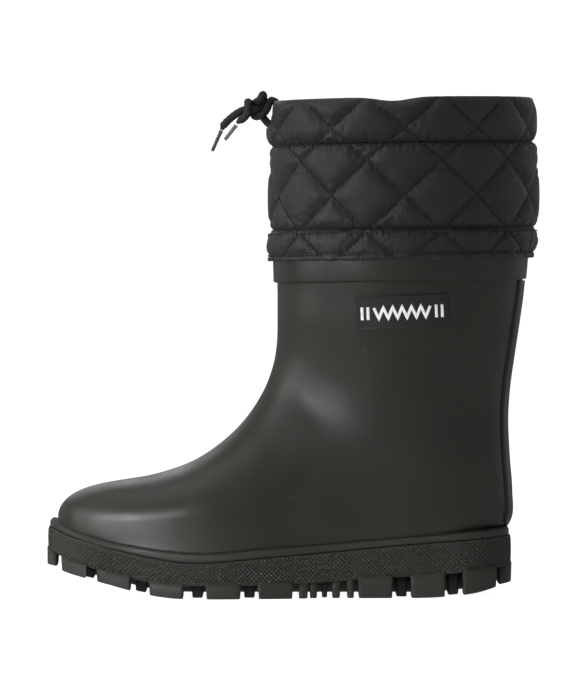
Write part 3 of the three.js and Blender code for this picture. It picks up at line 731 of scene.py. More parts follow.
def make_upper():
    inside = creased_upper(2.2, 14, 80, SIDES)
    rim = outer_skin[-1:] * 0.5 + inside[-1:] * 0.5
    rim[..., 2] += 0.9
    shell = np.concatenate([outer_skin, rim, inside[::-1]])
    obj = closed_grid("boot_upper", shell)
    finish_piece(obj, "boot", "upper_rubber", UPPER_RUBBER, ["upper_shell"])


def make_lining():
    outside = creased_upper(2.6, 12, 60, SIDES)
    inside = creased_upper(5.5, 20, 150, SIDES)
    n = outward(inside, grid_normals(inside, True))
    pile = wave_noise(inside.reshape(-1, 3), 7, 11, 3).reshape(inside.shape[:2])
    inside = inside + n * (0.35 * pile)[..., None]
    rim = outside[-1:] * 0.5 + inside[-1:] * 0.5
    rim[..., 2] += 1
    obj = closed_grid("boot_inner_lining", np.concatenate([outside, rim, inside[::-1]]))
    finish_piece(obj, "boot", "lining", FLEECE, ["boot_lining"])
    return inside


def slab_from_grid(name, base, normals, top, bottom):
    """A closed piece on a surface patch: its face stands top above the surface, its back is bottom below."""
    obj = mesh_object(name, *slab(base + normals * top[..., None], base - normals * bottom))
    fix_normals(obj)
    return obj


def edge_steps(half, bevel, fine, coarse):
    """Positions across a strip from -half to half, close together near its edges."""
    edge = half - bevel * (1 - np.cos(np.linspace(0, np.pi / 2, fine)))
    middle = np.linspace(-(half - bevel), half - bevel, coarse)[1:-1]
    return np.concatenate([-edge, middle, edge[::-1]])


def bevelled(distance, bevel, height):
    """Height at a distance from an edge that is rounded off over bevel."""
    share = np.clip(distance / bevel, 0, 1)
    return height * np.sqrt(np.maximum(0, 1 - (1 - share) ** 2))


def make_heel_strip():
    half, corner, low, high = 17.0, 6.0, 41.2, 184.6
    rows = np.concatenate([low + corner * (1 - np.cos(np.linspace(0, np.pi / 2, 12))),
                           np.linspace(low + corner, high, 90)[1:]])
    across = edge_steps(1, 0.1, 7, 26)
    base = np.zeros((len(rows), len(across), 3))
    normals = np.zeros_like(base)
    top = np.zeros(base.shape[:2])
    for i, z in enumerate(rows):
        drop = max(0, low + corner - z)
        width = half - corner + math.sqrt(max(0, corner ** 2 - drop ** 2)) + 0.05
        for j, share in enumerate(across):
            y = share * width
            base[i, j], normals[i, j] = cast((FAR, y, z), (-1, 0, 0))
            edge = width - abs(y)
            if z <= low + corner:
                edge = min(edge, z - low + 0.3 * (half - abs(y)))
            top[i, j] = 0.25 + bevelled(max(0, edge), 1.3, 1.3)
    obj = slab_from_grid("heel_backstay", base, normals, top, 0.4)
    finish_piece(obj, "boot", "trim_rubber", TRIM_RUBBER, ["heel_strip"])


SHAFT_CENTRE, SHAFT_REACH, FAR = 64, 70, 300


def shaft_ring(z, n):
    """Points and normals round the shaft at the height z, tilted by the collar's slope."""
    points, normals = np.zeros((n, 3)), np.zeros((n, 3))
    for k, a in enumerate(2 * np.pi * np.arange(n) / n):
        c, s = math.cos(a), math.sin(a)
        height = z + slope_at(SHAFT_CENTRE + SHAFT_REACH * c)
        points[k], normals[k] = cast((SHAFT_CENTRE + FAR * c, FAR * s, height), (-c, -s, 0))
    return points, normals


BAND_SKIN_TOP = 198  # above this the band goes on straight up from the skin's ring at this height


def make_top_band():
    """A band round the shaft, closed between its outer and inner face and open in the middle."""
    n, edge, height = 240, 1.1, 1.9
    bend = np.linspace(0, np.pi / 2, 6)
    profile = [(0.1, BAND_BOTTOM + 0.3)]
    profile += [(GAP + height - edge * (1 - math.sin(b)), BAND_BOTTOM + edge * (1 - math.cos(b)))
                for b in bend]
    profile += [(GAP + height + 0.12 * math.sin(math.pi * t), BAND_BOTTOM + edge + t * (17 - edge))
                for t in np.linspace(0.1, 1, 10)]
    profile += [(GAP + height - 0.4, BAND_BOTTOM + 19), (0.6, BAND_BOTTOM + 20.2), (0.1, BAND_BOTTOM + 19.5)]
    rings = []
    for offset, z in profile:
        points, normals = shaft_ring(min(z, BAND_SKIN_TOP), n)
        points[:, 2] += z - min(z, BAND_SKIN_TOP)
        rings.append(points + unit(normals * (1, 1, 0)) * offset)
    p = np.array(rings)
    p += (0.12 * wave_noise(p.reshape(-1, 3), 60, 21, 2)).reshape(len(profile), n, 1) * [0, 0, 1]
    obj = mesh_object("shaft_top_band", p.reshape(-1, 3), grid_faces(len(profile), n, True, True))
    fix_normals(obj)
    finish_piece(obj, "boot", "trim_rubber", TRIM_RUBBER, ["top_band"])


LABEL_SIZE, LABEL_CENTRE, LABEL_TILT = (53.6, 19.6), (63.0, 166.4), math.radians(2.4)


def label_point(u, v):
    """Where the label's own coordinates lie on the shaft's outer side, with the normal."""
    c, s = math.cos(LABEL_TILT), math.sin(LABEL_TILT)
    x = LABEL_CENTRE[0] + u * c - v * s
    z = LABEL_CENTRE[1] + u * s + v * c
    return cast((x, -FAR, z), (0, 1, 0))


def label_grid(rows):
    """Points and normals on the shaft for rows of the label's own coordinates."""
    hits = [[label_point(*q) for q in row] for row in rows]
    return (np.array([[hit[k] for hit in row] for row in hits]) for k in (0, 1))


def make_label():
    half_u, half_v = LABEL_SIZE[0] / 2, LABEL_SIZE[1] / 2
    us, vs = edge_steps(half_u, 2.4, 12, 50), edge_steps(half_v, 2.4, 12, 20)
    base, normals = label_grid([[(u, v) for u in us] for v in vs])
    edge = np.minimum(half_u - np.abs(us)[None, :], half_v - np.abs(vs)[:, None])
    top = 0.15 + bevelled(edge, 0.5, 0.85) - 0.28 * ease(edge, 1.1, 1.5)
    obj = slab_from_grid("label_patch", base, normals, top, 0.3)
    finish_piece(obj, "boot", "label", LABEL_RUBBER, ["side_label"])


def ribbon(points, width):
    """Left and right edges of a flat line of that width through points (u, v), with mitred corners."""
    p = np.array(points, float)
    d = unit(np.diff(p, axis=0))
    n = np.stack([-d[:, 1], d[:, 0]], 1)
    corner = unit(np.vstack([n[:1], n[:-1] + n[1:], n[-1:]]))
    scale = 1 / np.maximum(0.5, (corner * np.vstack([n[:1], n])).sum(1))
    step = corner * scale[:, None] * width / 2
    return p + step, p - step


def make_motif():
    """A plain zigzag between two pairs of bars, raised on the label."""
    half_height, period, turns, stroke = 3.1, 5.4, 6, 1.7
    zigzag = [((k - turns) * period / 2, half_height * (-1) ** k) for k in range(2 * turns + 1)]
    end = half_height + 0.6
    lines = [zigzag]
    for u in (19.6, 23.0):
        lines += [[(u, -end), (u, end)], [(-u, -end), (-u, end)]]
    parts = []
    for line in lines:
        steps = 5 * np.arange(len(line))
        dense = at_lengths(np.array(line, float), steps, np.arange(steps[-1] + 1))
        left, right = ribbon(dense, stroke)
        across = [left * (1 - share) + right * share for share in (0, 0.12, 0.5, 0.88, 1)]
        base, normals = label_grid(across)
        lift = np.array([0.72, 1.0, 1.03, 1.0, 0.72])[:, None, None]
        parts.append(slab(base + normals * lift, base + normals * 0.55))
    obj = mesh_object("label_motif", *join_parts(parts))
    fix_normals(obj)
    finish_piece(obj, "boot", "label", MOTIF_PRINT)


# ---- Sole ------------------------------------------------------------------------------------------
def outline_xs(inset, rings):
    """Places along the sole's outline, close together at its ends."""
    share = 0.5 - 0.5 * np.cos(np.pi * np.linspace(0.012, 0.988, rings))
    return TOE_TIP + inset + share * (HEEL_END - TOE_TIP - 2 * inset)


def edge_normals(xs, half):
    """The outward unit (x, y) of an outline with these half widths."""
    tangent = unit(np.stack([np.gradient(xs), np.gradient(half)], 1))
    return np.stack([-tangent[:, 1], tangent[:, 0]], 1)


def outline_frame(xs, inset):
    """Half widths at xs, the length run along the edge and the edge's outward slope as a unit (x, y)."""
    half = half_width_at(xs, inset)
    run = np.concatenate([[half[0]], half[0] + np.cumsum(np.hypot(np.diff(xs), np.diff(half)))])
    return half, run, edge_normals(xs, half)


def knurl(run, height, pitch, depth):
    """Crossing grooves that leave small diamonds."""
    def ridge(v):
        return 1 - np.abs(2 * (v - np.floor(v)) - 1)
    a, b = ridge((run + height) / pitch), ridge((run - height) / pitch)
    return depth * np.minimum(np.minimum(a, b) * 1.5, 1)


def make_outsole_body():
    rings, rows = 1250, 38
    xs = outline_xs(0, rings)
    half, run, normal = outline_frame(xs, 0)
    low, high, middle = wall_bottom(xs), wall_top(xs), sole_middle(xs)
    share = np.linspace(0, 1, rows)
    z = low[:, None] + (high - low)[:, None] * share
    edge = np.minimum(share, 1 - share) * (high - low)[:, None]
    pattern = knurl(run[:, None], z - low[:, None] + 40, 2.6, 1.0) * ease(edge, 0.5, 1.1)
    bulge = 0.25 * np.sin(np.pi * share)[None, :] - 0.75 + pattern
    loops = []
    for side in (-1, 1):
        wall = np.stack([
            xs[:, None] + normal[:, 0:1] * bulge,
            middle[:, None] + side * (half[:, None] + normal[:, 1:2] * bulge),
            z], 2)
        loops.append(wall)
    drop = np.maximum(0, high - board_bottom(xs) + 1.5) * ease(half, 14, 26)
    top = high - 0.02 - drop
    cap = [np.stack([xs, middle + half * f, top], 1)[:, None] for f in (-0.8, -0.4, 0, 0.4, 0.8)]
    floor = [np.stack([xs, middle + half * f, low + 0.02], 1)[:, None] for f in (0.9, 0.5, 0, -0.5, -0.9)]
    p = np.concatenate([loops[0]] + cap + [loops[1][:, ::-1]] + floor, axis=1)
    obj = closed_grid("outsole_body", p)
    finish_piece(obj, "boot", "sole_rubber", SOLE_RUBBER, ["outsole"])


LUG_PROUD = 0.9
ARCH_BLOCKS = (  # x, length, width, inset
    (5.8, 6, 18, 1.6), (11.7, 5, 16, 3.2), (18.2, 4, 12, 9), (24.9, 5.4, 17, 2.4), (33.3, 4.8, 18, 1.6))
END_BLOCKS = ((-142, 4, 7.2, 24), (-128, 4, 15.4, 90), (124, 0, 8.6, 44))  # x, y, length, width
RIB = {"ends": (-133, 119), "half": 6, "lift": 1.2}  # along the sole's middle, just clear of the ground
FOREFOOT_LUGS, HEEL_LUGS = (-10.3, -40.5, -73.6, -104.4), (47.8, 78.4, 108.6)


def lug(place, half_u, half_v, corner=1.5, chamfer=0.7, draft=0.5):
    """A tread block. place(u, v) gives its plan point, and its foot is rounded off and slightly narrower."""
    plan = []
    for cu, cv, start in ((1, 1, 0), (-1, 1, 90), (-1, -1, 180), (1, -1, 270)):
        for angle in np.radians(start + np.linspace(0, 90, 5)):
            plan.append((cu * (half_u - corner) + corner * math.cos(angle),
                         cv * (half_v - corner) + corner * math.sin(angle)))
    filled = []
    for a, b in zip(plan, plan[1:] + plan[:1]):
        steps = max(1, int(math.dist(a, b) / 2.2))
        filled += [(a[0] + (b[0] - a[0]) * k / steps, a[1] + (b[1] - a[1]) * k / steps)
                   for k in range(steps)]
    plan = np.array(filled)
    levels = [(1.0, 0, 0.0), (0.55, 0.0, draft * 0.45), (0.0, chamfer, draft)]
    levels += [(0.0, chamfer * (1 - math.sin(a)), draft + chamfer * (1 - math.cos(a)))
               for a in (0.5, 1.0, math.pi / 2)]
    rings = []
    for share, lift, inset in levels:
        scale = np.array([(half_u - inset) / half_u, (half_v - inset) / half_v])
        xy = np.array([place(*q) for q in plan * scale])
        ground, roof = ground_line(xy[:, 0]) + lift, wall_bottom(xy[:, 0]) + 1.2
        rings.append(np.column_stack([xy, ground + (roof - ground) * share]))
    p = np.array(rings)
    return capped(p, p[0].mean(0), p[-1].mean(0))


def centre_rib():
    xs = np.linspace(*RIB["ends"], 90)
    half = RIB["half"]
    low, high = ground_line(xs) + RIB["lift"], wall_bottom(xs) + 1.2
    profile = [(half, 1), (half, 0.3), (half - 0.4, 0.08), (half - 1.2, 0), (0, 0)]
    profile += [(-y, share) for y, share in profile[-2::-1]] + [(0, 1)]
    p = np.stack([np.stack([xs, np.full_like(xs, y), low + (high - low) * share], 1)
                  for y, share in profile], 1)
    return capped(p, p[0].mean(0), p[-1].mean(0))


def make_tread():
    parts = []

    def side_lugs(x, length, width, inset):
        for side in (-1, 1):
            def place(u, v, side=side):
                at = x + u
                edge = half_width_at(np.array([at]), -LUG_PROUD)[0] - inset
                return at, sole_middle(at) + side * (edge - (width / 2 - v))
            parts.append(lug(place, length / 2, width / 2))

    def block(x, y, length, width):
        def place(u, v):
            at = min(max(x + u, TOE_TIP - 0.6), HEEL_END + 0.6)
            room = half_width_at(np.array([at]), -LUG_PROUD)[0]
            off = np.clip(y + v - sole_middle(at), -room, room)
            return at, sole_middle(at) + off
        parts.append(lug(place, length / 2, width / 2))

    for x in FOREFOOT_LUGS + HEEL_LUGS:
        side_lugs(x, 20.4, 21, 0)
        block(x, sole_middle(x), 12, 22)
    for x in FOREFOOT_LUGS + HEEL_LUGS[1:]:
        at = x - 15.2
        block(at, sole_middle(at), 7, 2 * half_width_at(np.array([at]), 13)[0])
    for place in ARCH_BLOCKS:
        side_lugs(*place)
    for place in END_BLOCKS:
        block(*place)
    parts.append(centre_rib())
    obj = mesh_object("outsole_tread", *join_parts(parts))
    fix_normals(obj)
    finish_piece(obj, "boot", "sole_rubber", SOLE_RUBBER)


def layer_sides(xs, half, normal, low, high, profile):
    """A profile of (inset from the edge, share of the height, lift) along each side of the sole."""
    middle = sole_middle(xs)
    sides = []
    for side in (-1, 1):
        points = []
        for inset, share, lift in profile:
            x = np.clip(xs - normal[:, 0] * inset, xs[0] - 0.5, xs[-1] + 0.5)
            y = middle + side * np.maximum(half - normal[:, 1] * inset, 0.02)
            points.append(np.stack([x, y, low + (high - low) * share + lift], 1))
        sides.append(np.stack(points, 1))
    return sides


def make_foxing():
    """A strip that runs once round the sole's edge, open in the middle."""
    xs = outline_xs(1, 420)
    half, _, normal = outline_frame(xs, 1)
    low, high = wall_top(xs) + 0.1, foxing_top(xs)
    bend = np.linspace(0, np.pi / 2, 6)
    profile = [(7, 0, 0), (1.4, 0, 0), (0.5, 0.02, 0.15), (0.2, 0.09, 0)]
    profile += [(-0.15, s, 0) for s in (0.25, 0.45, 0.62)]
    profile += [(-0.1 + 1.6 * (1 - math.cos(b)), 1, -1.6 * (1 - math.sin(b))) for b in bend]
    profile += [(3.4, 1, -0.15), (5.2, 1, -0.5), (7, 1, -1.2)]
    left, right = layer_sides(xs, half, normal, low, high, profile)
    p = np.concatenate([left, right[::-1]])
    obj = mesh_object("foxing_bead", p.reshape(-1, 3), grid_faces(*p.shape[:2], True, True))
    fix_normals(obj)
    finish_piece(obj, "boot", "sole_rubber", SOLE_RUBBER, ["foxing_strip"])


def make_glue_seam():
    """The thin uneven line of rubber glue where the upper comes out of the foxing."""
    xs = outline_xs(LEDGE, 500)
    half, _, normal = outline_frame(xs, LEDGE)
    sides = [np.stack([xs, sole_middle(xs) + side * half, foxing_top(xs) + 0.35], 1) for side in (-1, 1)]
    line = np.concatenate([sides[0], sides[1][::-1]])
    line[:, 2] += 0.3 * wave_noise(line, 7, 41, 3)
    radii = 0.42 + 0.2 * wave_noise(line, 4, 42, 3)
    obj = mesh_object("glue_seam", *tube(line, np.clip(radii, 0.15, 0.8), 8))
    fix_normals(obj)
    finish_piece(obj, "boot", "sole_rubber", GLUE, [])


# ---- Footbed ----------------------------------------------------------------------------------------
board_bottom = curve_through([(-140, 32.6), (-120, 28), (-100, 25.6), (-75, 24), (-47, 23.3), (-10, 25),
                              (30, 27.4), (72, 30.4), (110, 33.4)])
FOAM_HEIGHTS, FELT_HEIGHTS = (2.7, 7.3), (7.6, 9.2)
FOOTBED_INSET, FOOTBED_PLAY = 12.5, 1.5


def make_footbed(lining):
    tree = BVHTree.FromPolygons([Vector(v) for v in lining.reshape(-1, 3)],
                                grid_faces(*lining.shape[:2], wrap_columns=True))
    front, back = (corner[0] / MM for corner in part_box("footbed_foam"))
    ends = (TOE_TIP + FOOTBED_INSET, HEEL_END - FOOTBED_INSET)
    xs = np.interp(outline_xs(FOOTBED_INSET, 180), ends, (front, back))
    half = half_width_at(xs, FOOTBED_INSET)
    for k, x in enumerate(xs):
        for height in (4, FELT_HEIGHTS[1]):
            for side in (-1, 1):
                origin = Vector((x, sole_middle(x), board_bottom(x) + height))
                hit = tree.ray_cast(origin, Vector((0, side, 0)))[0]
                if hit is not None:
                    half[k] = min(half[k], max(1.0, abs(hit.y - origin.y) - FOOTBED_PLAY))
    spread = np.ones(9) / 9
    half = np.minimum(half, np.convolve(np.pad(half, 4, "edge"), spread, "valid"))
    normal = edge_normals(xs, half)
    normal[:25, 0] = np.minimum(normal[:25, 0], 0)
    normal[-25:, 0] = np.maximum(normal[-25:, 0], 0)
    for name, heights, material, slot, node, round_off in (
            ("footbed_felt_top", FELT_HEIGHTS, FELT, "felt", "footbed_felt", 0.7),
            ("footbed_foam_body", FOAM_HEIGHTS, FOAM, "foam", "footbed_foam", 1.2)):
        bend = np.linspace(0, np.pi / 2, 5)
        profile = [(9, 0, 0), (1, 0, 0), (0.2, 0.06, 0)]
        profile += [(round_off * (1 - math.cos(b)), 1, -round_off * (1 - math.sin(b))) for b in bend]
        profile += [(4, 1, 0), (9, 1, 0), (14, 1, 0)]
        low, high = board_bottom(xs) + heights[0], board_bottom(xs) + heights[1]
        left, right = layer_sides(xs, half, normal, low, high, profile)
        p = np.concatenate([left, right[:, ::-1]], axis=1)
        if node == "footbed_felt":
            fluff = wave_noise(p.reshape(-1, 3), 9, 31, 3).reshape(p.shape[:2])
            p[..., 2] += np.where(p[..., 2] > (low + 0.8)[:, None], 0.14 * fluff, 0)
        obj = closed_grid(name, p)
        finish_piece(obj, "footbed", slot, material, [node])


# ---- Quilted collar ---------------------------------------------------------------------------------
# Cloth coordinates: s is the length round the collar's oval from the middle of its outer side, towards
# the heel, and z is the height before the collar's slope is added.
ROUND = 20  # half diamonds round the collar
ANGLES = np.linspace(-math.pi / 2, 1.5 * math.pi, 4001)
OVAL_X = COLLAR_HALF[0] * np.cos(ANGLES)
OVAL_Y = COLLAR_HALF[1] * np.sin(ANGLES)
OVAL_RUN = np.concatenate([[0], np.cumsum(np.hypot(np.diff(OVAL_X), np.diff(OVAL_Y)))])
GIRTH = OVAL_RUN[-1]
HALF_DIAMOND = GIRTH / ROUND
QUILT_ROWS = ((186, -5.0), (193.5, -4.0), (213, -3.0), (234.2, -2.0),
              (254.5, -1.0), (273, 0.0), (292, 1.0), (312, 2.0))
quilt_row = curve_through(QUILT_ROWS)
STITCH_PITCH, STITCH_LIFT = 3.1, 0.55


def oval_angle(s):
    return np.interp(np.mod(s, GIRTH), OVAL_RUN, ANGLES)


def collar_point(s, offset, z):
    """Point in the row frame of cloth coordinates (s, z), offset outwards from the oval."""
    a = oval_angle(s)
    n = np.stack([np.cos(a) / COLLAR_HALF[0], np.sin(a) / COLLAR_HALF[1]], -1)
    n /= np.linalg.norm(n, axis=-1, keepdims=True)
    x = COLLAR_CENTRE + COLLAR_HALF[0] * np.cos(a) + n[..., 0] * offset
    y = COLLAR_HALF[1] * np.sin(a) + n[..., 1] * offset
    return np.stack([x, y, z + slope_at(x)], -1)


def wander(s, z, seed, size):
    """Slow unevenness over the cloth, the same at both ends of its run."""
    a = 2 * np.pi * s / GIRTH
    draw = np.random.default_rng(seed)
    total = np.zeros(np.broadcast(s, z).shape)
    for k in (3, 5, 8, 13, 21):
        total = total + np.sin(k * a + z / draw.uniform(6, 30) + draw.uniform(0, 7)) / k ** 0.5
    return size * total / 2


def quilt(s, z):
    """Distances in mm to the two families of slanting stitch lines, and the places along them."""
    u = s / HALF_DIAMOND + wander(s, z, 3, 0.022)
    v = quilt_row(z) + wander(s, z, 4, 0.02)
    row = np.gradient(quilt_row(np.array([230.0, 231.0])))[0] ** -1
    scale = 1 / math.hypot(1 / HALF_DIAMOND, 1 / row)
    distances, places = [], []
    for total, along in ((u + v, u - v), (u - v, u + v)):
        off = (total + 1) % 2 - 1
        distances.append(np.abs(off) * scale)
        places.append(along * scale)
    return distances, places


def puckers(distance, along, depth, reach, seed):
    """Short creases that run away from a stitch line."""
    ripple = np.sin(along * 2 * np.pi / 3.9 + 1.6 * np.sin(along / 5.1 + seed) + seed)
    ripple += 0.6 * np.sin(along * 2 * np.pi / 6.7 + seed * 2)
    return depth * ripple * np.exp(-distance / reach) * (1 - np.exp(-distance / 0.5))


def puff(s, z, full, seams, seam_depth, share=1.0):
    """How far the padded cloth stands out, its small creases by themselves, and the nearest stitch line."""
    distances, places = quilt(s, z)
    total = sum(np.maximum(d, 0.05) ** -2.6 for d in distances)
    near = np.full(np.broadcast(s, z).shape, 99.0)
    creases = 0
    for k in range(2):
        creases = creases + puckers(distances[k], places[k], 0.13, 2.2, k + 1)
    for i, (height, depth) in enumerate(seams):
        away = np.abs(z - height - wander(s, 0, 50 + i, 0.25))
        near = np.minimum(near, away)
        creases = creases + puckers(away, s * (1 + 0.02 * i), depth, 3.2, 5 + i)
    total = total + np.maximum(near * 1.15, 0.05) ** -2.6
    closest = total ** (-1 / 2.6)
    lift = full * share * (1 - np.exp(-closest / 1.9)) * (1 + 0.1 * wander(s, z, 9, 1))
    return lift - seam_depth * np.exp(-((near / 2.0) ** 2)), creases, closest


def front_run():
    """The cloth coordinate s of the collar's front."""
    return float(np.interp(math.pi, ANGLES, OVAL_RUN))


def tucked(s, at, depth, width=26):
    """The collar is drawn in by depth round the place at."""
    away = (s - at + GIRTH / 2) % GIRTH - GIRTH / 2
    return -depth * np.exp(-((away / width) ** 2))


def notch(s, z):
    """The cloth is drawn in where the cord's two ends come out at the front."""
    away = np.abs(s - front_run())
    return -3.4 * np.exp(-((away / 12) ** 2)) * ease(z, 274, 279)


def profile_samples(points, step):
    """A smooth line through (offset, z) points, sampled evenly, with its outward normals and length."""
    p = np.array(points, float)
    t = np.linspace(0, len(p) - 1, 400)
    line = smooth(p, t)
    run = length_along(line)
    at = np.linspace(0, run[-1], int(run[-1] / step) + 1)
    line = at_lengths(line, run, at)
    d = unit(np.gradient(line, axis=0))
    return line, np.stack([d[:, 1], -d[:, 0]], 1), at


CLOTH_STEP = 0.9
COLUMNS = int(GIRTH / CLOTH_STEP)
RUNS = np.linspace(0, GIRTH, COLUMNS, endpoint=False)


SIM_SCALE = 0.02  # the cloth is simulated at 20 times its size, where the solver is at ease
SIM_STEP, SIM_FRAMES = 1.7, 22
SIM_START = 0.6  # share of the padding's height that the cloth starts with


def inflate(start, pinned):
    """Cloth with a little spare length, sewn down at its stitch lines and blown out by its padding."""
    rows, columns = start.shape[:2]
    trial = mesh_object("cloth_trial", start.reshape(-1, 3) * (SIM_SCALE / MM),
                        grid_faces(rows, columns, wrap_columns=True))
    fix_normals(trial)
    group = trial.vertex_groups.new(name="sewn")
    group.add(np.flatnonzero(pinned.ravel()).tolist(), 1.0, "REPLACE")
    cloth = trial.modifiers.new("cloth", "CLOTH")
    cloth.settings.quality = 6
    cloth.settings.mass = 0.15
    cloth.settings.tension_stiffness = cloth.settings.compression_stiffness = 12
    cloth.settings.shear_stiffness = 4
    cloth.settings.bending_stiffness = 0.12
    cloth.settings.shrink_min = -0.045
    cloth.settings.use_pressure = True
    cloth.settings.uniform_pressure_force = 7
    cloth.settings.vertex_group_mass = "sewn"
    cloth.settings.effector_weights.gravity = 0
    cloth.collision_settings.use_collision = False
    cloth.point_cache.frame_start, cloth.point_cache.frame_end = 1, SIM_FRAMES
    scene = bpy.context.scene
    for step in range(1, SIM_FRAMES + 1):
        scene.frame_set(step)
    shape = trial.evaluated_get(bpy.context.evaluated_depsgraph_get()).data
    out = np.zeros(rows * columns * 3)
    shape.vertices.foreach_get("co", out)
    mesh = trial.data
    bpy.data.objects.remove(trial)
    bpy.data.meshes.remove(mesh)
    scene.frame_set(1)
    return out.reshape(rows, columns, 3) / SIM_SCALE


def swollen(place, rows, end):
    """How far the simulated cloth moves, along its normal, at the given rows and at RUNS."""
    count = max(6, int(end / SIM_STEP))
    columns = int(GIRTH / SIM_STEP)
    at = np.linspace(0, end, count)
    runs = np.linspace(0, GIRTH, columns, endpoint=False)
    start, _, closest = place(at, runs, SIM_START, small_creases=False)
    pinned = closest < 0.8
    pinned[0] = pinned[-1] = True
    moved = inflate(start, pinned)
    normals = outward(start, grid_normals(start, True))
    rise = ((moved - start) * normals).sum(2)
    rise = 1.7 * np.tanh(rise / 1.7) * ~pinned
    wide = np.concatenate([rise[:, -3:], rise, rise[:, :3]], 1)
    wide = smooth(wide, np.clip(rows / (end / (count - 1)), 0, count - 1))
    return smooth(wide.T, 3 + RUNS / (GIRTH / columns)).T


def cloth_panel(points, full, seams, seam_depth, face_top=None, inner_from=None, extra=None):
    """A padded panel: a profile swept round the collar with its quilting standing out.
    Above face_top the cloth turns inwards, and over inner_from its padding dies away.
    Returns points (rows, columns, 3), the cloth coordinates and the profile."""
    line, normal, at = profile_samples(points, CLOTH_STEP)
    z_cloth = line[:, 1].copy()
    highest = int(np.argmax(line[:, 1]))
    start = highest + 1 if face_top is None else int(np.searchsorted(line[:highest + 1, 1], face_top))
    for k in range(start, len(z_cloth)):
        z_cloth[k] = z_cloth[start] + at[k] - at[start]
    end = at[-1] if inner_from is None else inner_from[1]

    def place(rows, runs, share, rise=0, small_creases=True):
        profile = [np.interp(rows, at, v)[:, None] for v in (*line.T, *normal.T)]
        outer = np.ones((len(rows), 1)) if inner_from is None else 1 - ease(rows, *inner_from)[:, None]
        s, z = np.meshgrid(runs, np.interp(rows, at, z_cloth))
        body, creases, closest = puff(s, z, full, seams, seam_depth, share)
        lift = (body + creases * small_creases + rise) * outer
        offset, height = profile[0] + profile[2] * lift, profile[1] + profile[3] * lift
        if extra is not None:
            offset = offset + extra(s, z) * outer
        return collar_point(s, offset, height), (s, z), closest

    p, (s, z), _ = place(at, RUNS, SIM_START, swollen(place, at, end))
    return p, s, z, line


def panel_object(name, p, s, z):
    """A closed cloth panel with cloth coordinates, which run on past the girth where it meets itself."""
    uv = np.stack([s, z], 2).reshape(-1, 2)
    obj = mesh_object(name, p.reshape(-1, 3), grid_faces(*p.shape[:2], True, True), uvs=uv)
    fix_normals(obj)
    layer = obj.data.uv_layers["cloth"].data
    for poly in obj.data.polygons:
        us = [layer[i].uv.x for i in poly.loop_indices]
        if max(us) - min(us) > 0.2:
            for i in poly.loop_indices:
                if layer[i].uv.x < 0.1:
                    layer[i].uv.x += GIRTH * MM
    return obj


STITCH_PLACES = np.array([0, 0.12, 0.5, 0.88, 1])  # shares of a stitch's length
STITCH_SINK = np.array([-0.5, -0.05, 0.12, -0.05, -0.5])
STITCH_WIDTHS = np.array([0.35, 0.9, 1.1, 0.9, 0.35])


def stitch_row(points, normals, radius=0.42, length=2.3):
    """Stitches along a dense line of points: small rounded threads lying in the cloth."""
    run = length_along(points)
    angles = 2 * np.pi * np.arange(6) / 6
    width = (radius * STITCH_WIDTHS)[:, None, None]
    parts = []
    for k in range(int(run[-1] // STITCH_PITCH)):
        at = (k + 0.2) * STITCH_PITCH + length * STITCH_PLACES
        up = at_lengths(normals, run, at)
        centre = at_lengths(points, run, at) + up * STITCH_SINK[:, None]
        along = unit(np.gradient(centre, axis=0))
        side = unit(np.cross(up, along))
        lift = np.cross(along, side)
        ring = (centre[:, None] + side[:, None] * (np.cos(angles)[None, :, None] * width)
                + lift[:, None] * (np.sin(angles)[None, :, None] * width))
        parts.append(capped(ring, centre[0], centre[-1]))
    return parts


def line_on_panel(s, z, offset_at):
    """A stitch line's points on a panel's outer face, with outward normals."""
    offset = offset_at(s, z) + STITCH_LIFT
    p = collar_point(s, offset, z)
    out = collar_point(s, offset + 1, z) - p
    return p, unit(out)


def quilt_line(k, direction, low, high):
    """Cloth coordinates of one slanting line between two heights."""
    z = np.linspace(low, high, 160)
    v = quilt_row(z)
    u = 2 * k - direction * v
    for _ in range(3):
        s = u * HALF_DIAMOND
        u = 2 * k - direction * (v + wander(s, z, 4, 0.02)) - wander(s, z, 3, 0.022)
    return u * HALF_DIAMOND, z


def panel_stitches(low, high, offset_at, rows=()):
    parts = []
    for k in range(ROUND // 2):
        for direction in (1, -1):
            s, z = quilt_line(k, direction, low, high)
            parts += stitch_row(*line_on_panel(s, z, offset_at))
    for height, lift in rows:
        s = np.linspace(0, GIRTH, 1200)
        z = height + wander(s, 0 * s, 61, 0.2)
        parts += stitch_row(*line_on_panel(s, z, lambda a, b: offset_at(a, b) + lift))
    return parts


def add_stitches(obj, parts):
    """The stitches join the panel's own mesh, as its second material."""
    threads = mesh_object(obj.name + "_threads", *join_parts(parts))
    fix_normals(threads)
    for part in (obj, threads):
        part.data.materials.append(NYLON)
        part.data.materials.append(STITCH)
    threads.data.polygons.foreach_set("material_index", [1] * len(threads.data.polygons))
    with bpy.context.temp_override(active_object=obj, selected_editable_objects=[obj, threads],
                                   selected_objects=[obj, threads], object=obj):
        bpy.ops.object.join()


def squash_collar(obj):
    """Gives the collar wall a mesh of its own; it is not moved."""
    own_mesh(obj)


WALL_BASE, HEM_BASE, CASING_BASE = -3.3, -2.3, -3.4


def wall_waist(s, z):
    """The wall is drawn in a little at the collar's front."""
    return tucked(s, front_run(), 1.3) + 0 * z


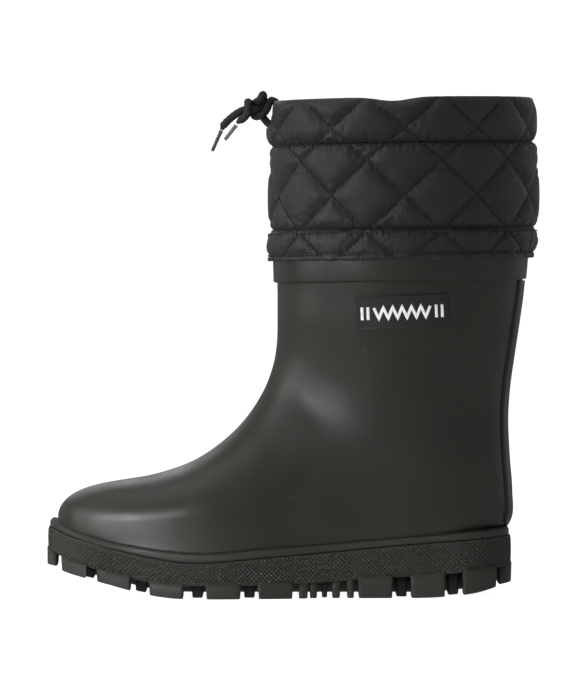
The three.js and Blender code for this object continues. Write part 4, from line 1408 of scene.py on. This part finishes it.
def make_collar_wall():
    seams = [(HEM_SEAM + 0.2, 0.3), (CASING_SEAM - 0.2, 0.36)]
    b = WALL_BASE
    points = [(-5.6, HEM_SEAM), (b - 0.5, HEM_SEAM + 0.1), (b, HEM_SEAM + 5), (b, 230), (b, 240),
              (b, CASING_SEAM - 5), (b - 0.5, CASING_SEAM - 0.1), (-5.6, CASING_SEAM)]
    p, s, z, _ = cloth_panel(points, 3.0, seams, 0.5, extra=wall_waist)
    back = collar_point(s[[0]], -7.6, np.full_like(s[[0]], HEM_SEAM))
    front = collar_point(s[[0]], -7.6, np.full_like(s[[0]], CASING_SEAM))
    p = np.concatenate([p, front, back])
    s = np.concatenate([s, s[:1], s[:1]])
    z = np.concatenate([z, z[-1:] + 2, z[-1:] + 50])
    obj = panel_object("collar_quilted_wall", p, s, z)
    add_stitches(obj, panel_stitches(HEM_SEAM + 1.4, CASING_SEAM - 1.4,
                                     lambda s, z: WALL_BASE + wall_waist(s, z),
                                     [(CASING_SEAM - 1.1, -0.35)]))
    finish_piece(obj, "boot", "quilted_nylon", [NYLON, STITCH], ["collar_wall"])
    squash_collar(obj)


def band_offset(s):
    """How far inside the oval the top band's face lies, at s."""
    out = []
    for value in s:
        p = collar_point(np.array([value]), 0, np.array([200.0]))[0]
        q = collar_point(np.array([value]), -1, np.array([200.0]))[0]
        d = q - p
        d[2] = 0
        hit, _ = cast(p - d * 40, d)
        out.append(-math.dist(p[:2], hit[:2]) + 2.2)
    return np.array(out)


def hem_tuck(s, z):
    """The hem's lower edge is drawn in at the heel, where the leg is narrower."""
    return tucked(s, GIRTH / 4, 2.6, 30) * (1 - ease(z, 199, 208))


def make_collar_hem():
    stitch_z = HEM_BOTTOM + 2.6
    seams = [(stitch_z, 0.22), (HEM_SEAM - 0.6, 0.3)]
    b = HEM_BASE
    points = [(b - 0.5, HEM_BOTTOM + 0.2), (b + 0.1, HEM_BOTTOM), (b + 0.3, HEM_BOTTOM + 0.6),
              (b, stitch_z), (b - 0.1, stitch_z + 2), (b - 0.2, 206), (b - 0.4, 210),
              (b - 1.0, HEM_SEAM - 0.1), (-5.4, HEM_SEAM)]
    p, s, z, line = cloth_panel(points, 2.2, seams, 0.35, extra=hem_tuck)
    lip = 1 - ease(line[:, 1], HEM_BOTTOM + 0.8, HEM_BOTTOM + 2.4)
    flare = wander(s, 0 * s, 71, 0.3) + 0.15 * np.sin(s / 2.9)
    p[..., 2] += lip[:, None] * wander(s, 0 * s, 72, 0.5)
    out = collar_point(s, 1.0, z) - collar_point(s, 0.0, z)
    p = p + out * (lip[:, None] * flare)[..., None]
    inner = band_offset(RUNS) + 0.25
    rows = [collar_point(RUNS, np.full_like(RUNS, -7.4), np.full_like(RUNS, HEM_SEAM)),
            collar_point(RUNS, np.minimum(inner, -4.0), np.full_like(RUNS, 207.5)),
            collar_point(RUNS, np.minimum(inner, HEM_BASE - 0.2), np.full_like(RUNS, HEM_BOTTOM + 1.5))]
    p = np.concatenate([p, np.array(rows)])
    s = np.concatenate([s, s[:1], s[:1], s[:1]])
    z = np.concatenate([z, z[-1:] + 2, z[-1:] + 9, z[-1:] + 19])
    obj = panel_object("collar_quilted_hem", p, s, z)
    add_stitches(obj, panel_stitches(stitch_z + 0.8, HEM_SEAM - 1.6,
                                     lambda s, z: HEM_BASE - 0.1 + hem_tuck(s, z),
                                     [(stitch_z, 0.05), (HEM_SEAM - 2.0, 0.0)]))
    finish_piece(obj, "boot", "quilted_nylon", [NYLON, STITCH], ["collar_hem"])


def casing_pull(s, z):
    """The casing is drawn in at the cord's exit, and a little at the heel."""
    return notch(s, z) + tucked(s, GIRTH / 4, 1.2)


def make_collar_casing():
    seams = [(CASING_SEAM + 0.3, 0.36)]
    b = CASING_BASE
    points = [(-5.8, CASING_SEAM), (b - 0.5, CASING_SEAM + 0.1), (b, CASING_SEAM + 5), (b, 276),
              (b, 283), (b - 0.1, 287), (b - 0.9, 289.9), (b - 2.2, 290.8), (b - 3.5, 289.7),
              (-7.7, 286.4), (-7.7, 278), (-7.7, 270), (-7.4, CASING_SEAM)]
    p, s, z, _ = cloth_panel(points, 2.9, seams, 0.5, 284, inner_from=(20, 31), extra=casing_pull)
    p[..., 2] += 2.3 * tucked(s, -7, 1, 13) * ease(p[..., 2], 279, 290)
    obj = panel_object("collar_quilted_casing", p, s, z)
    add_stitches(obj, panel_stitches(CASING_SEAM + 1.4, 287.5,
                                     lambda s, z: CASING_BASE + casing_pull(s, z),
                                     [(CASING_SEAM + 1.2, -0.35)]))
    finish_piece(obj, "collar_top", "quilted_nylon", [NYLON, STITCH], ["collar_casing"])


LINING_FACES = (-8.3, -9.0)  # offsets of its outer and inner face from the collar's oval


def make_collar_lining():
    z = np.linspace(SHAFT_TOP + 1.6, COLLAR_TOP - 4.6, 70)
    s, zz = np.meshgrid(RUNS[::2], z)
    folds = wander(s, zz, 81, 0.5) + 0.3 * np.sin(s / 5.3 + zz / 19)
    outer = collar_point(s, LINING_FACES[0], zz)
    inner = collar_point(s, LINING_FACES[1] - 0.35 * (1 + folds), zz)
    obj = panel_object("collar_inner_cloth", np.concatenate([outer, inner[::-1]]),
                       np.concatenate([s, s[::-1]]), np.concatenate([zz, zz[::-1] + 100]))
    finish_piece(obj, "boot", "collar_cloth", PLAIN_CLOTH, ["collar_lining"])
    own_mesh(obj)


def make_hidden_cord():
    """The cord's run inside the casing, pressed flat between the cloths."""
    gap = 0.2
    a = np.pi + np.linspace(gap, 2 * np.pi - gap, 240)
    n = np.stack([np.cos(a) / COLLAR_HALF[0], np.sin(a) / COLLAR_HALF[1]], 1)
    n /= np.linalg.norm(n, axis=1, keepdims=True)
    rings = []
    for turn in np.linspace(0, 2 * np.pi, 14, endpoint=False):
        offset = -5.5 + 0.9 * math.cos(turn)
        x = COLLAR_CENTRE + COLLAR_HALF[0] * np.cos(a) + n[:, 0] * offset
        y = COLLAR_HALF[1] * np.sin(a) + n[:, 1] * offset
        rings.append(np.stack([x, y, 280.8 + 2.2 * math.sin(turn) + slope_at(x)], 1))
    obj = closed_grid("drawcord_inside_casing", np.stack(rings, 1))
    finish_piece(obj, "collar_top", "cord", CORD_YARN, ["drawcord_run"])


# ---- CAD nodes that keep their shape ------------------------------------------------------------------
def dress_cad_nodes():
    for node, material in (("sole_filler", FOAM), ("insole_board", BOARD), ("heel_counter", STIFFENER),
                           ("toe_puff", STIFFENER)):
        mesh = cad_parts[node].data
        mesh.materials.clear()
        mesh.materials.append(material)


# ---- Studio --------------------------------------------------------------------------------------------
def softbox(name, place, size, power, aim=(0, 0, 0.12), spread=180):
    data = bpy.data.lights.new(name, "AREA")
    data.shape = "RECTANGLE"
    data.size, data.size_y = size
    data.energy = power
    data.spread = math.radians(spread)
    obj = bpy.data.objects.new(name, data)
    bpy.context.scene.collection.objects.link(obj)
    obj.location = place
    obj.rotation_euler = (Vector(aim) - Vector(place)).to_track_quat("-Z", "Y").to_euler()


def make_studio():
    steps, rings = 96, [0.0, 0.3, 0.6, 1.2, 2.5, 5, 10, 25, 60]
    verts, faces = [(0, 0, 0)], []
    for r in rings[1:]:
        turns = [2 * math.pi * k / steps for k in range(steps)]
        verts += [(r / MM * math.cos(a), r / MM * math.sin(a), 0) for a in turns]
    for k in range(steps):
        faces.append([0, 1 + k, 1 + (k + 1) % steps])
    for i in range(len(rings) - 2):
        faces += [[1 + i * steps + k, 1 + (i + 1) * steps + k, 1 + (i + 1) * steps + (k + 1) % steps,
                   1 + i * steps + (k + 1) % steps] for k in range(steps)]
    floor = mesh_object("studio_floor", verts, faces)
    n = Nodes("studio_floor")
    n.surface(Base_Color=rgb(0.3, 0.3, 0.3), Roughness=0.9, Specular_IOR_Level=0.05,
              Emission_Color=rgb(1, 1, 1), Emission_Strength=0.97)
    floor.data.materials.append(n.material)
    floor.visible_glossy = False
    world = bpy.data.worlds.new("studio")
    world.use_nodes = True
    tree = world.node_tree
    shade = tree.nodes["Background"]
    rays = tree.nodes.new("ShaderNodeLightPath")
    level = tree.nodes.new("ShaderNodeMapRange")
    level.inputs["To Min"].default_value = 0.21
    level.inputs["To Max"].default_value = 1.1
    tree.links.new(rays.outputs["Is Camera Ray"], level.inputs["Value"])
    tree.links.new(level.outputs["Result"], shade.inputs["Strength"])
    shade.inputs["Color"].default_value = rgb(1, 1, 1)
    bpy.context.scene.world = world
    bpy.context.scene.view_settings.view_transform = "Standard"
    softbox("overhead", (-0.4, 0.1, 1.9), (2.0, 1.4), 8)
    softbox("left_side", (-2.0, -0.55, 0.8), (0.5, 1.7), 17)
    softbox("toe_light", (-0.9, -1.1, 0.26), (0.3, 0.3), 0.2, aim=(-0.12, -0.05, 0.03), spread=18)
    softbox("front_fill", (-1.2, -1.8, 0.7), (1.0, 1.0), 2)
    softbox("right_side", (1.9, -0.6, 0.9), (0.5, 1.4), 0.6)
    softbox("back_high", (-0.1, 2.0, 0.95), (1.6, 0.5), 6)
    softbox("back_left", (-1.6, 1.3, 0.6), (1.0, 1.4), 1)
    softbox("back_right", (1.7, 1.2, 0.7), (0.9, 1.4), 1)


# ---- Making ----------------------------------------------------------------------------------------------
make_camera()
make_drawcord()
make_hidden_cord()
make_upper()
inner_skin = make_lining()
make_heel_strip()
make_top_band()
make_label()
make_motif()
make_outsole_body()
make_tread()
make_foxing()
make_glue_seam()
make_footbed(inner_skin)
make_collar_hem()
make_collar_wall()
make_collar_casing()
make_collar_lining()
dress_cad_nodes()
make_studio()
